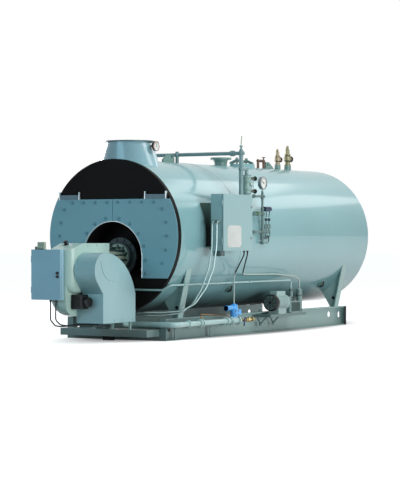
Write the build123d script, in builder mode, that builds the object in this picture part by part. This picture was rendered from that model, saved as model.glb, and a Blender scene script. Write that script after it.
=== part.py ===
from build123d import *
from math import asin, atan2, cos, hypot, radians, sin, sqrt
import os

os.makedirs("parts", exist_ok=True)

# Packaged fire-tube steam boiler on a skid, with a forced-draught burner at its front.
# +Z is up, the burner end faces -Y, and the control cabinet stands on the +X side.
# The origin is on the ground, half way along the shell and midway between the rails.
# Millimetres throughout. A "level" is a height from the shell's axis, a "rise" one from
# the shell's crown, a "standoff" a distance off its side and a "height" one from the ground.

# Shell
shell_radius = 900
shell_length = 4840
shell_wall = 48
shell_clearance = 305
seam_from_front = 1390
seam_chamfer = 4
seat_gap = 0.3

# Skid
rail_inner = 610
rail_width = 80
rail_height = 255
rail_flange = 13
rail_web = 10
rail_cap = 12
rail_setback = 240
rail_hole_radius = 42
rail_hole_height = 152
rail_hole_setback = 368
rail_slot_width = 62
rail_slot_length = 112
rail_slot_height = 128
rail_slot_setback = 76
rail_front_hole_radius = 26
rail_front_hole_setback = 120
cross_width = 90
cross_height = 100

# Platform under the burner
platform_gap = 10
platform_depth = 270
platform_height = 81
platform_sheet = 8
post_height = 96
post_width = 24
post_from_front = 250
post_inset = 60
foot_width = 130
foot_depth = 60
foot_stem_radius = 20
foot_setback = 150

# Legs between rails and shell
leg_plate = 14
leg_flange = 14
leg_flange_width = 110
leg_top_angle = -25
leg_inner_angle = -57.5
leg_overhang = 10
leg_hole_radius = 22
leg_hole_rise = 118
front_leg_from_front = 310
rear_leg_from_rear = 530

# Front plate with the burner's recess, and the half doors
front_plate_depth = 62
recess_depth = 240
recess_wall = 10
door_plate = 10
door_inset = 6
door_top = 430
door_bottom = -484
door_split = 6
arch_radius = 408
arch_centre = -238
arch_lip = 7
arch_lip_proud = 5
hanger_inner = 462
hanger_outer = 738
hanger_height = 52
hanger_depth = 22
hanger_pin_radius = 9
hanger_pin_height = 84

# Rear plate and door
rear_plate_depth = 16
rear_door_margin = 100
rear_door_depth = 40
rear_door_fillet = 20
rear_port_radius = 60
rear_port_depth = 50

# Stack outlet on the smokebox
stack_from_front = 295
stack_radius = 275
stack_wall = 8
stack_rise = 208
stack_flange_lip = 22
stack_flange = 14
stack_base_x = 432
stack_base_y = 285
stack_base_from_front = 270
stack_base_drop = 200
dial_radius = 44
dial_drop = 52
dial_depth = 34
dial_stem = 11

# Lifting lugs
lug_plate = 25
lug_hole_radius = 17
lug_foot = 30
front_lug_from_front = 1020
front_lug_length = 250
front_lug_rise = 105
rear_lug_from_rear = 1265
rear_lug_length = 220
rear_lug_rise = 88

# Steam nozzle, a 6-inch class flange
nozzle_from_rear = 2437
nozzle_rise = 102
nozzle_neck_radius = 84
nozzle_bore_radius = 77
nozzle_flange_radius = 139.7
nozzle_flange = 25.4
nozzle_hub_radius = 96
nozzle_hub_height = 36
nozzle_bolt_circle = 241.3
nozzle_bolt_hole = 22.2
nozzle_bolts = 8

# Manhole
manhole_from_rear = 1895
manhole_x = 138
manhole_y = 184
manhole_ring = 22
manhole_ring_rise = 36
manhole_gap = 1
manhole_cover_plate = 26
yoke_spacing = 122
yoke_bar = 26
yoke_rise = 58
yoke_stud_radius = 11
yoke_stud_rise = 86

# Vent fitting
vent_from_rear = 1458
vent_length = 150
vent_rise = 98
vent_pipe_radius = 18
vent_elbow_radius = 23
vent_spindle_radius = 9
vent_spindle_rise = 44
vent_knob_radius = 24
vent_knob = 10

# Safety valves
small_valve_from_rear = 920
small_valve_rise = 277
small_valve_scale = 0.86
large_valve_from_rear = 637
large_valve_rise = 329
valve_nozzle_radius = 48
valve_nozzle_rise = 62
valve_foot_radius = 42
valve_neck_radius = 33
valve_body_radius = 50
valve_bonnet_radius = 28
valve_cap_radius = 16
valve_outlet_radius = 34
valve_outlet_bore = 26
valve_outlet_lip = 40
valve_outlet_reach = 88
valve_outlet_lip_depth = 20

# Handholes in the lower shell
handhole_angle = -44
handhole_radius = 52
handhole_rise = 18
handhole_bolt_radius = 14
handhole_bolt_rise = 44
front_handhole_from_front = 1495
rear_handhole_from_rear = 910

# Steam header and water column
header_from_front = 1312
header_rise = 96
header_radius = 22
header_tee_x = 25
header_left_x = -330
header_stub = 40
header_union = 26
column_standoff = 30
column_leg_radius = 26
column_leg_bottom = 330
column_offset = 134
column_radius = 52
column_flange = 18
column_flange_lip = 10
column_top = 730
column_bottom = 515
column_branch = 80
fitting_radius = 35

# Gauge glass
glass_from_front = 1568
glass_radius = 10
glass_inset = 30
cock_ball_radius = 22
cock_stem_radius = 9
wheel_reach = 84
wheel_radius = 26
wheel_depth = 9

# Gauge manifold and what it carries
manifold_standoff = 35
manifold_from_front = 1828
manifold_radius = 14
manifold_bottom = -83
elbow_radius = 21
arm_length = 225
arm_levels = (487, 272, 52)
switch_arm = 40
switch_level = 333
switch_length = 152
switch_radius = 29
syphon_arm_level = 52
syphon_places = (92, 166)
syphon_radius = 28
syphon_tube = 8
syphon_stem = 40
syphon_stem_radius = 6
sensor_radius = 16
sensor_height = 32
drain_length = 160
drain_rise = 92
drain_bend = 40
drain_cap_radius = 19
drain_cap = 24
gauge_level = 651
gauge_radius = 78
gauge_depth = 46
gauge_edge = 6
gauge_rim = 10
gauge_recess = 8
gauge_stem = 24
gauge_stem_radius = 11

# Enclosures: control cabinet on the shell's side, control box on the burner's front
cabinet_standoff = 98
cabinet_depth = 148
cabinet_from_front = 492
cabinet_width = 680
cabinet_bottom = -170
cabinet_height = 660
sheet = 4
door_gap = 5
door_leaf = 16
door_edge = 3
hinge_radius = 5.5
hinge_pin_radius = 3
hinge_offset = 9
hinge_length = 34
hinge_clearance = 0.4
hinge_inset = 110
hinge_lug = 16
bracket_plate = 10
bracket_inset = 60
bracket_top_margin = 100
bracket_bottom_margin = 50
junction_width = 90
junction_height = 62
junction_inset = 20
junction_from_edge = 10
junction_edge = 6

# Burner
burner_left = -158
burner_right = 60
burner_front = 1100
burner_rear = 345
burner_top = -80
burner_bottom_height = 312
burner_bottom_fillet = 140
burner_edge_fillet = 30
burner_side = 80
burner_side_bottom = -640
burner_side_fillet = 45
burner_slope_run = 210
burner_slope_drop = 75
air_box_right = 420
air_box_bottom_height = 229
air_box_front = 882
air_box_rear = 228
air_box_neck = -647
air_box_shoulder = -657
scroll_from_front = 848
scroll_level = -384
scroll_radius = 198
scroll_mid_angle = 25
inlet_rib_from_front = 690
inlet_rib_level = -275
inlet_rib_radius = 240
inlet_rib = 10
inlet_rib_depth = 5
tube_neck_radius = 80
tube_radius = 148
tube_from_front = 40
tube_flange_radius = 220
tube_flange_from_front = 92
tube_flange = 24
control_left = -364
control_right = 37
control_top = -149
control_bottom = -712
control_depth = 44
latch_radius = 13
latch_spacing = 40
latch_level = -430
latch_inset = 39
relay_from_edge = 70
relay_setback = 3
relay_length = 92
relay_width = 38
relay_height = 84
relay_edge = 6
damper_gap = 6
damper_width = 150
damper_bottom = -815
damper_height = 162
damper_depth = 112
damper_edge = 12
damper_cap_radius = 54
damper_neck_radius = 44
damper_cap_length = 62
box_left = -160
box_from_front = 110
box_width = 150
box_depth = 100
box_height = 96
box_edge = 8

# Fuel line outside the right-hand rail
fuel_offset = 160
fuel_clearance = 24
fuel_radius = 33
fuel_front = 52
fuel_bend = 70
fuel_corner = 45
fuel_riser_bend = 38
fuel_riser_x = 200
fuel_riser_front = 150
fuel_inlet_rise = 170
coupling_from_front = 1090
coupling_length = 40
coupling_radius = 41
union_from_front = 471
union_gap = 45
union_flange = 22
union_radius = 50
fuel_valve_from_front = 1185
fuel_valve_length = 190
fuel_valve_radius = 38
fuel_valve_flange = 22
fuel_valve_flange_radius = 53
actuator_bonnet = 42
actuator_radius = 46
actuator_height = 152
actuator_edge = 8
actuator_knob_radius = 31
actuator_knob_reach = 190
actuator_knob_rise = 112
actuator_plug = 34
actuator_plug_reach = 118
actuator_plug_rise = 58
cock_length = 390
cock_pipe_radius = 17
cock_body_radius = 32
cock_nut_radius = 26
support_width = 50
support_plate = 8
support_height = 203
support_places = (200, 1000)

# Atomising-air set outside the right-hand rail
shelf_from_front = 2100
shelf_length = 940
shelf_width = 210
shelf_plate = 34
shelf_height = 232
brace_places = (2201, 2530)
brace_radius = 8
brace_drop = 90
brace_out = 104
brace_along = 96
brace_pad = 24
brace_pad_depth = 10
motor_offset = 140
motor_from_front = 2215
motor_length = 340
motor_radius = 103
motor_axis_rise = 142
motor_body_radius = 99
fan_cover_length = 62
fan_cover_fillet = 18
motor_foot_width = 140
motor_foot_inset = 90
motor_terminal_width = 96
motor_terminal_length = 226
motor_terminal_setback = 20
motor_terminal_rise = 40
shaft_radius = 30
compressor_from_front = 2600
compressor_width = 150
compressor_length = 290
compressor_height = 150
compressor_edge = 20
head_radius = 54
head_rise = 60
riser_from_front = 2760
riser_radius = 23
riser_drop = 100
filter_from_front = 2985
filter_radius = 36
filter_height = 294
filter_edge = 10
filter_neck_radius = 14
filter_neck_height = 96
air_pipe_angle = -34.5
air_pipe_standoff = 89
air_pipe_radius = 12
air_pipe_bend = 40
air_pipe_front = 100
air_pipe_step = 110
air_pipe_front_level = -617
air_pipe_end_x = 250
air_pipe_end_level = -705

# Conduits and cables, held at both ends. A conduit's row has its place on the cabinet, its
# points round the shell (angle, standoff, distance from the front), its points over the rail
# (out from the rail, distance, height above it) and its entry (distance, height over the platform)
conduit_radius = 10
conduit_level = 171
conduit_reach = 67
conduit_lean = 10
conduit_drop_level = -120
conduit_entry = 60
conduit_bends = (45, 120, 180, 220, 160, 150, 200, 200, 60, 20)
conduit_rows = (
    (
        57,
        ((-20.2, 182, 410), (-32.6, 222, 370), (-41.9, 268, 300)),
        ((147, 220, 62), (-10, 100, 38), (-190, 20, 35), (-490, -70, 30)),
        (-150, 55),
    ),
    (
        119,
        ((-19.2, 244, 405), (-30.2, 274, 360), (-40.4, 302, 270)),
        ((180, 170, 88), (10, 60, 72), (-190, -20, 70), (-480, -90, 66)),
        (-180, 80),
    ),
)
cable_radius = 8
cable_drop = 50
valve_cable_out = 112
valve_cable_from_rear = 102
valve_cable_level = -470
valve_cable_bends = (40, 90)
motor_cable_out = 122
motor_cable_from_rear = 40
motor_cable_run = ((195, 1420, -462), (190, 2250, -474), (140, 2850, -510))
motor_cable_end = -560
motor_cable_bends = (40, 150, 300, 90, 40)
burner_cable_places = (-120, -62)
burner_cable_setback = 11
burner_cable_step = 18
burner_cable_turn = 45
burner_cable_height = 54
burner_cable_lift = 12
burner_cable_run = ((90, 14), (190, 0))
burner_cable_bends = (50, 60, 60)

# Where those sizes put things
axis_height = shell_clearance + shell_radius
front_y = -shell_length / 2
rear_y = shell_length / 2
plate_y = front_y - front_plate_depth
recess_y = front_y + recess_depth
crown = axis_height + shell_radius
rail_outer = rail_inner + rail_width
rail_x = rail_inner + rail_width / 2
rail_length = shell_length - rail_setback
rail_end_y = front_y + rail_length
platform_top = air_box_bottom_height - post_height
platform_bottom = platform_top - platform_height
platform_half = rail_inner - platform_gap
fuel_x = rail_outer + fuel_offset
fuel_z = platform_top + fuel_clearance + fuel_radius
column_x = shell_radius + column_standoff
manifold_x = shell_radius + manifold_standoff
cabinet_back = shell_radius + cabinet_standoff
cabinet_front = cabinet_back + cabinet_depth
motor_x = rail_outer + motor_offset


def facing_front(y):
    """Plane across the boiler at y: sketches lie in X and Z, extrusions run to -Y."""
    return Plane((0, y, 0), x_dir=(1, 0, 0), z_dir=(0, -1, 0))


def facing_side(x):
    """Plane along the boiler at x: sketches lie in Y and Z, extrusions run to +X."""
    return Plane((x, 0, 0), x_dir=(0, 1, 0), z_dir=(1, 0, 0))


def level(height):
    """Height above the ground of a level given from the shell's axis."""
    return axis_height + height


def back(distance):
    """Y of a place given as its distance behind the shell's front end."""
    return front_y + distance


def ahead(distance):
    """Y of a place given as its distance ahead of the shell's rear end."""
    return rear_y - distance


def block(x, y, z, mode=Mode.ADD):
    """A box given by its two ends along X, Y and Z."""
    with Locations(((x[0] + x[1]) / 2, (y[0] + y[1]) / 2, (z[0] + z[1]) / 2)):
        Box(x[1] - x[0], y[1] - y[0], z[1] - z[0], mode=mode)


def rod(start, end, radius, mode=Mode.ADD):
    """A round bar from one point to another."""
    run = Vector(*end) - Vector(*start)
    with BuildSketch(Plane(start, z_dir=run)) as section:
        Circle(radius)
    extrude(section.sketch, amount=run.length, mode=mode)


def ball(centre, radius):
    """A round fitting at a point."""
    with Locations(centre):
        Sphere(radius)


def pipe(points, bends, radius):
    """A round pipe along straight runs joined by tangent bends."""
    with BuildLine() as route:
        FilletPolyline(*points, radius=bends)
    with BuildSketch(Plane(route.line @ 0, z_dir=route.line % 0)) as section:
        Circle(radius)
    sweep(section.sketch, path=route.line)


def clear_of_shell():
    """Cuts the piece being built so that it seats on the round shell."""
    with BuildSketch(facing_front(rear_y)) as section:
        with Locations((0, axis_height)):
            Circle(shell_radius + seat_gap)
    extrude(section.sketch, amount=shell_length, mode=Mode.SUBTRACT)


def on_shell(angle, standoff=0):
    """X and Z of the place at an angle from +X, a standoff outside the shell."""
    radius = shell_radius + standoff
    return radius * cos(radians(angle)), axis_height + radius * sin(radians(angle))


# Skid rails: channels with their open side outwards, closed by end plates
for side, hand in ((1, "right"), (-1, "left")):
    with BuildPart() as rail:
        with BuildSketch(facing_front(rail_end_y)):
            with Locations((side * rail_x, rail_height / 2)):
                Rectangle(rail_width, rail_height)
            with Locations((side * (rail_x + rail_web), rail_height / 2)):
                Rectangle(rail_width, rail_height - 2 * rail_flange, mode=Mode.SUBTRACT)
        extrude(amount=rail_length)
        for cap_y in (front_y + rail_cap, rail_end_y):
            with BuildSketch(facing_front(cap_y)):
                with Locations((side * rail_x, rail_height / 2)):
                    Rectangle(rail_width, rail_height)
            extrude(amount=rail_cap)
        with BuildSketch(facing_side(side * (rail_inner + rail_web / 2) - rail_web)):
            with Locations((rail_end_y - rail_hole_setback, rail_hole_height)):
                Circle(rail_hole_radius)
            with Locations((rail_end_y - rail_slot_setback, rail_slot_height)):
                SlotOverall(rail_slot_length, rail_slot_width, rotation=90)
            with Locations((back(rail_front_hole_setback), rail_height / 2)):
                Circle(rail_front_hole_radius)
        extrude(amount=2 * rail_web, mode=Mode.SUBTRACT)
    rail.part.label = f"skid_rail_{hand}"
    export_step(rail.part, f"parts/skid_rail_{hand}.step")

# Cross members between the rails; the middle one stands on the ground at the origin
rear_cross = rail_end_y - rail_cap
with BuildPart() as cross_members:
    block((-rail_inner, rail_inner), (front_y, front_y + cross_width), (0, cross_height))
    block((-rail_inner, rail_inner), (-cross_width / 2, cross_width / 2), (0, cross_height))
    block((-rail_inner, rail_inner), (rear_cross - cross_width, rear_cross), (0, cross_height))
cross_members.part.label = "skid_cross_members"
export_step(cross_members.part, "parts/skid_cross_members.step")

# Burner platform: a sheet pan with turned-down sides, welded to the front cross member
platform_y = (front_y - platform_depth, front_y)
with BuildPart() as platform:
    block((-platform_half, platform_half), platform_y, (platform_bottom, platform_top))
    block(
        (platform_sheet - platform_half, platform_half - platform_sheet),
        (platform_y[0] + platform_sheet, platform_y[1] - platform_sheet),
        (platform_bottom, platform_top - platform_sheet),
        mode=Mode.SUBTRACT,
    )
platform.part.label = "burner_platform"
export_step(platform.part, "parts/burner_platform.step")

# Foot under the platform: a pad with a stem up to the pan's underside
foot_y = front_y - foot_setback
with BuildPart() as foot:
    block(
        (-foot_width / 2, foot_width / 2),
        (foot_y - foot_depth / 2, foot_y + foot_depth / 2),
        (0, platform_bottom),
    )
    rod((0, foot_y, 0), (0, foot_y, platform_top - platform_sheet), foot_stem_radius)
foot.part.label = "platform_foot"
export_step(foot.part, "parts/platform_foot.step")


# Legs: a box of two web plates across the boiler, with a wider flange along the outer edge
def leg_pair(place):
    """A right-hand and a left-hand leg at y, the front web of each with a hole."""
    tip_x, tip_z = on_shell(leg_top_angle, seat_gap)
    root_x, root_z = on_shell(leg_inner_angle, -leg_flange)
    inside_x, inside_z = on_shell(leg_top_angle, -leg_flange)
    for side in (1, -1):
        for web_y, holed in ((place, True), (place + leg_flange_width / 2, False)):
            with BuildSketch(facing_front(web_y)) as web:
                with BuildLine():
                    Polyline(
                        (side * (rail_inner - leg_overhang), rail_height),
                        (side * rail_outer, rail_height),
                        (side * tip_x, tip_z),
                        (side * inside_x, inside_z),
                        (side * root_x, root_z),
                        close=True,
                    )
                make_face()
                if holed:
                    with Locations((side * rail_x, rail_height + leg_hole_rise)):
                        Circle(leg_hole_radius, mode=Mode.SUBTRACT)
            extrude(web.sketch, amount=leg_plate)
        with BuildSketch(facing_front(place + leg_flange_width / 2)) as flange:
            with BuildLine():
                Polyline(
                    (side * (rail_outer - leg_flange), rail_height),
                    (side * rail_outer, rail_height),
                    (side * tip_x, tip_z),
                    (side * (tip_x - leg_flange), tip_z),
                    close=True,
                )
            make_face()
        extrude(flange.sketch, amount=leg_flange_width)
    clear_of_shell()


with BuildPart() as front_legs:
    leg_pair(back(front_leg_from_front))
front_legs.part.label = "front_legs"
export_step(front_legs.part, "parts/front_legs.step")

with BuildPart() as rear_legs:
    leg_pair(ahead(rear_leg_from_rear))
rear_legs.part.label = "rear_legs"
export_step(rear_legs.part, "parts/rear_legs.step")

# Shell in two jacket lengths that butt at the seam, each with a small chamfer there
seam_y = back(seam_from_front)
for name, start, end in (
    ("shell_front_jacket", front_y, seam_y),
    ("shell_rear_jacket", seam_y, rear_y),
):
    with BuildPart() as jacket:
        with BuildSketch(facing_front(end)):
            with Locations((0, axis_height)):
                Circle(shell_radius)
        extrude(amount=end - start)
        rims = jacket.edges().filter_by(GeomType.CIRCLE)
        chamfer(rims.filter_by_position(Axis.Y, seam_y - 1, seam_y + 1), seam_chamfer)
        with BuildSketch(facing_front(end)):
            with Locations((0, axis_height)):
                Circle(shell_radius - shell_wall)
        extrude(amount=end - start, mode=Mode.SUBTRACT)
    jacket.part.label = name
    export_step(jacket.part, f"parts/{name}.step")


def arch(width):
    """The arch over the burner, as wide as given on each side of the middle."""
    with Locations((0, level(arch_centre))):
        Circle(width)
    with Locations((0, level((arch_centre + door_bottom - width + arch_radius) / 2))):
        Rectangle(2 * width, arch_centre - door_bottom + width - arch_radius)


# Front plate: the black smokebox front, with the deep arched recess that takes the burner
with BuildPart() as front_plate:
    with BuildSketch(facing_front(front_y)):
        with Locations((0, axis_height)):
            Circle(shell_radius)
    extrude(amount=front_plate_depth)
    with BuildSketch(facing_front(recess_y + recess_wall)):
        arch(arch_radius + recess_wall)
    extrude(amount=recess_depth + recess_wall)
    with BuildSketch(facing_front(recess_y)):
        arch(arch_radius)
    extrude(amount=recess_depth + front_plate_depth, mode=Mode.SUBTRACT)
front_plate.part.label = "front_plate"
export_step(front_plate.part, "parts/front_plate.step")

# Half doors: two plates that meet at the middle, cut by one arch over the burner
for side, hand in ((1, "right"), (-1, "left")):
    with BuildPart() as door:
        half = Location((side * (shell_radius + door_split) / 2, axis_height))
        with BuildSketch(facing_front(plate_y)):
            with Locations((0, axis_height)):
                Circle(shell_radius - door_inset)
            with Locations((0, level((door_top + door_bottom) / 2))):
                Rectangle(2 * shell_radius, door_top - door_bottom, mode=Mode.INTERSECT)
            with Locations(half):
                Rectangle(shell_radius, 2 * shell_radius, mode=Mode.INTERSECT)
            with Locations((0, level(arch_centre))):
                Circle(arch_radius, mode=Mode.SUBTRACT)
            with Locations((0, level(arch_centre) - shell_radius / 2)):
                Rectangle(2 * arch_radius, shell_radius, mode=Mode.SUBTRACT)
        extrude(amount=door_plate)
        with BuildSketch(facing_front(plate_y)):
            arch(arch_radius + arch_lip)
            with Locations((0, level(arch_centre))):
                Circle(arch_radius, mode=Mode.SUBTRACT)
            with Locations((0, level(arch_centre) - shell_radius / 2)):
                Rectangle(2 * arch_radius, shell_radius, mode=Mode.SUBTRACT)
            with Locations(half):
                Rectangle(shell_radius, 2 * shell_radius, mode=Mode.INTERSECT)
            with Locations((0, level(door_bottom) + shell_radius)):
                Rectangle(2 * shell_radius, 2 * shell_radius, mode=Mode.INTERSECT)
        extrude(amount=door_plate + arch_lip_proud)
    door.part.label = f"door_{hand}"
    export_step(door.part, f"parts/door_{hand}.step")

# Door hangers: a flat bar over each half door, with a pin at either end
hanger_y = (plate_y - hanger_depth, plate_y)
hanger_z = level(door_top) + seat_gap
with BuildPart() as hangers:
    for side in (1, -1):
        ends = sorted((side * hanger_inner, side * hanger_outer))
        block(ends, hanger_y, (hanger_z, level(door_top) + hanger_height))
        for x in ends:
            pin_top = level(door_top) + hanger_pin_height
            rod((x, hanger_y[0], hanger_z), (x, hanger_y[0], pin_top), hanger_pin_radius)
hangers.part.label = "door_hangers"
export_step(hangers.part, "parts/door_hangers.step")

# Rear plate, and the flanged rear door with its sight port
with BuildPart() as rear_plate:
    with BuildSketch(facing_front(rear_y + rear_plate_depth)):
        with Locations((0, axis_height)):
            Circle(shell_radius)
    extrude(amount=rear_plate_depth)
rear_plate.part.label = "rear_plate"
export_step(rear_plate.part, "parts/rear_plate.step")

rear_door_y = rear_y + rear_plate_depth + rear_door_depth
with BuildPart() as rear_door:
    with BuildSketch(facing_front(rear_door_y)):
        with Locations((0, axis_height)):
            Circle(shell_radius - rear_door_margin)
    extrude(amount=rear_door_depth)
    fillet(rear_door.edges().filter_by(GeomType.CIRCLE).sort_by(Axis.Y)[-1], rear_door_fillet)
    with BuildSketch(facing_front(rear_door_y + rear_port_depth)):
        with Locations((0, axis_height)):
            Circle(rear_port_radius)
    extrude(amount=rear_port_depth)
rear_door.part.label = "rear_door"
export_step(rear_door.part, "parts/rear_door.step")

# Stack transition: a hollow cone from an oval on the smokebox to the round outlet
stack_y = back(stack_from_front)
stack_z = crown + stack_rise
stack_base_z = crown - stack_base_drop
with BuildPart() as stack:
    for inset, mode in ((0, Mode.ADD), (stack_wall, Mode.SUBTRACT)):
        with BuildSketch(Plane((0, back(stack_base_from_front), stack_base_z))):
            Ellipse(stack_base_x - inset, stack_base_y - inset)
        with BuildSketch(Plane((0, stack_y, stack_z))):
            Circle(stack_radius - inset)
        loft(mode=mode)
    clear_of_shell()
    block(
        (-shell_radius, shell_radius),
        (front_y - shell_radius, front_y),
        (axis_height, stack_z),
        mode=Mode.SUBTRACT,
    )
stack.part.label = "stack_transition"
export_step(stack.part, "parts/stack_transition.step")

with BuildPart() as stack_rim:
    with BuildSketch(Plane((0, stack_y, stack_z))):
        Circle(stack_radius + stack_flange_lip)
        Circle(stack_radius - stack_wall, mode=Mode.SUBTRACT)
    extrude(amount=stack_flange)
stack_rim.part.label = "stack_flange"
export_step(stack_rim.part, "parts/stack_flange.step")

# Stack thermometer: a round dial on a stem, facing the +X side
dial_z = stack_z - dial_drop
dial_spread = (stack_base_x - stack_radius) * (dial_drop + dial_stem) / (stack_z - stack_base_z)
dial_wall_x = stack_radius + dial_spread + seat_gap
dial_x = dial_wall_x + dial_depth
with BuildPart() as thermometer:
    rod((dial_wall_x, stack_y, dial_z), (dial_x, stack_y, dial_z), dial_stem)
    rod((dial_x, stack_y, dial_z), (dial_x + dial_depth, stack_y, dial_z), dial_radius)
thermometer.part.label = "stack_thermometer"
export_step(thermometer.part, "parts/stack_thermometer.step")

# Lifting lugs: plates along the top of the shell, each with a shackle hole
with BuildPart() as lugs:
    start = back(front_lug_from_front)
    with BuildSketch(facing_side(-lug_plate / 2)):
        with BuildLine():
            Polyline(
                (start, crown - lug_foot),
                (start + front_lug_length, crown - lug_foot),
                (start + front_lug_length, crown + 0.72 * front_lug_rise),
                (start + 0.8 * front_lug_length, crown + front_lug_rise),
                (start + 0.42 * front_lug_length, crown + front_lug_rise),
                (start, crown + lug_foot),
                close=True,
            )
        make_face()
        with Locations((start + 0.76 * front_lug_length, crown + 0.68 * front_lug_rise)):
            Circle(lug_hole_radius, mode=Mode.SUBTRACT)
    extrude(amount=lug_plate)
    start = ahead(rear_lug_from_rear)
    with BuildSketch(facing_side(-lug_plate / 2)):
        with BuildLine():
            Polyline(
                (start, crown - lug_foot),
                (start + rear_lug_length, crown - lug_foot),
                (start + rear_lug_length, crown + 0.1 * rear_lug_rise),
                (start + 0.4 * rear_lug_length, crown + rear_lug_rise),
                (start, crown + rear_lug_rise),
                close=True,
            )
        make_face()
        with Locations((start + 0.24 * rear_lug_length, crown + 0.6 * rear_lug_rise)):
            Circle(lug_hole_radius, mode=Mode.SUBTRACT)
    extrude(amount=lug_plate)
    clear_of_shell()
lugs.part.label = "lifting_lugs"
export_step(lugs.part, "parts/lifting_lugs.step")

# Steam nozzle: a flanged neck with its bolt circle
nozzle_y = ahead(nozzle_from_rear)
nozzle_z = crown + nozzle_rise
with BuildPart() as nozzle:
    rod((0, nozzle_y, axis_height), (0, nozzle_y, nozzle_z), nozzle_neck_radius)
    with Locations((0, nozzle_y, nozzle_z - nozzle_flange - nozzle_hub_height / 2)):
        Cone(nozzle_neck_radius, nozzle_hub_radius, nozzle_hub_height)
    with BuildSketch(Plane((0, nozzle_y, nozzle_z - nozzle_flange))):
        Circle(nozzle_flange_radius)
        with PolarLocations(nozzle_bolt_circle / 2, nozzle_bolts, start_angle=180 / nozzle_bolts):
            Circle(nozzle_bolt_hole / 2, mode=Mode.SUBTRACT)
    extrude(amount=nozzle_flange)
    clear_of_shell()
    rod((0, nozzle_y, axis_height), (0, nozzle_y, nozzle_z), nozzle_bore_radius, mode=Mode.SUBTRACT)
nozzle.part.label = "steam_nozzle"
export_step(nozzle.part, "parts/steam_nozzle.step")

# Manhole: an oval ring on the shell, and its cover held by two yokes
manhole_z = crown + manhole_ring_rise
manhole_place = ahead(manhole_from_rear)
with BuildPart() as manhole_frame:
    with BuildSketch(Plane((0, manhole_place, axis_height))):
        Ellipse(manhole_x + manhole_ring, manhole_y + manhole_ring)
        Ellipse(manhole_x, manhole_y, mode=Mode.SUBTRACT)
    extrude(amount=manhole_z - axis_height)
    clear_of_shell()
manhole_frame.part.label = "manhole_ring"
export_step(manhole_frame.part, "parts/manhole_ring.step")

yoke_half = manhole_x * sqrt(1 - (yoke_spacing / manhole_y) ** 2)
with BuildPart() as manhole_cover:
    with BuildSketch(Plane((0, manhole_place, manhole_z - manhole_cover_plate))):
        Ellipse(manhole_x - manhole_gap, manhole_y - manhole_gap)
    extrude(amount=manhole_cover_plate)
    for yoke_y in (manhole_place - yoke_spacing, manhole_place + yoke_spacing):
        with BuildSketch(facing_front(yoke_y + yoke_bar / 2)):
            with BuildLine():
                Polyline(
                    (-yoke_half, manhole_z),
                    (-yoke_half, manhole_z + yoke_bar),
                    (-yoke_bar, manhole_z + yoke_rise),
                    (yoke_bar, manhole_z + yoke_rise),
                    (yoke_half, manhole_z + yoke_bar),
                    (yoke_half, manhole_z),
                    (yoke_half - yoke_bar, manhole_z),
                    (0, manhole_z + yoke_rise - yoke_bar),
                    (yoke_bar - yoke_half, manhole_z),
                    close=True,
                )
            make_face()
        extrude(amount=yoke_bar)
        rod((0, yoke_y, manhole_z), (0, yoke_y, manhole_z + yoke_stud_rise), yoke_stud_radius)
manhole_cover.part.label = "manhole_cover"
export_step(manhole_cover.part, "parts/manhole_cover.step")

# Vent fitting: a pipe bridge on the shell with a small globe valve at its rear leg
vent_z = crown + vent_rise
vent_front = ahead(vent_from_rear)
vent_rear = vent_front + vent_length
with BuildPart() as vent:
    for y in (vent_front, vent_rear):
        rod((0, y, axis_height), (0, y, vent_z), vent_pipe_radius)
        ball((0, y, vent_z), vent_elbow_radius)
    rod((0, vent_front, vent_z), (0, vent_rear, vent_z), vent_pipe_radius)
    knob_z = vent_z + vent_spindle_rise
    rod((0, vent_rear, vent_z), (0, vent_rear, knob_z), vent_spindle_radius)
    rod((0, vent_rear, knob_z), (0, vent_rear, knob_z + vent_knob), vent_knob_radius)
    clear_of_shell()
vent.part.label = "vent_fitting"
export_step(vent.part, "parts/vent_fitting.step")

# Nozzles that carry the safety valves
valve_seat = crown + valve_nozzle_rise
small_valve_y = ahead(small_valve_from_rear)
large_valve_y = ahead(large_valve_from_rear)
with BuildPart() as valve_nozzles:
    for y, size in ((small_valve_y, small_valve_scale), (large_valve_y, 1)):
        rod((0, y, axis_height), (0, y, valve_seat), size * valve_nozzle_radius)
    clear_of_shell()
valve_nozzles.part.label = "safety_valve_nozzles"
export_step(valve_nozzles.part, "parts/safety_valve_nozzles.step")


# Safety valves: a turned bonnet over a round body with a side outlet
def safety_valve(place, top, size):
    """A spring safety valve on its nozzle, with the outlet towards +Y."""
    tall = top - valve_seat
    with BuildSketch(facing_front(place)) as profile:
        with BuildLine():
            Polyline(
                (0, valve_seat),
                (valve_foot_radius * size, valve_seat),
                (valve_foot_radius * size, valve_seat + 0.06 * tall),
                (valve_neck_radius * size, valve_seat + 0.09 * tall),
                (valve_neck_radius * size, valve_seat + 0.16 * tall),
                (valve_body_radius * size, valve_seat + 0.26 * tall),
                (valve_body_radius * size, valve_seat + 0.40 * tall),
                (valve_neck_radius * size, valve_seat + 0.49 * tall),
                (valve_foot_radius * size, valve_seat + 0.52 * tall),
                (valve_foot_radius * size, valve_seat + 0.57 * tall),
                (valve_bonnet_radius * size, valve_seat + 0.60 * tall),
                (valve_bonnet_radius * size, valve_seat + 0.80 * tall),
                (valve_cap_radius * size, valve_seat + 0.86 * tall),
                (valve_cap_radius * size, valve_seat + tall),
                (0, valve_seat + tall),
                close=True,
            )
        make_face()
    revolve(profile.sketch, axis=Axis((0, place, 0), (0, 0, 1)))
    outlet = valve_seat + 0.33 * tall
    end = place + valve_outlet_reach * size
    lip = end - valve_outlet_lip_depth * size
    rod((0, place, outlet), (0, end, outlet), valve_outlet_radius * size)
    rod((0, lip, outlet), (0, end, outlet), valve_outlet_lip * size)
    rod((0, lip, outlet), (0, end, outlet), valve_outlet_bore * size, mode=Mode.SUBTRACT)


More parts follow.
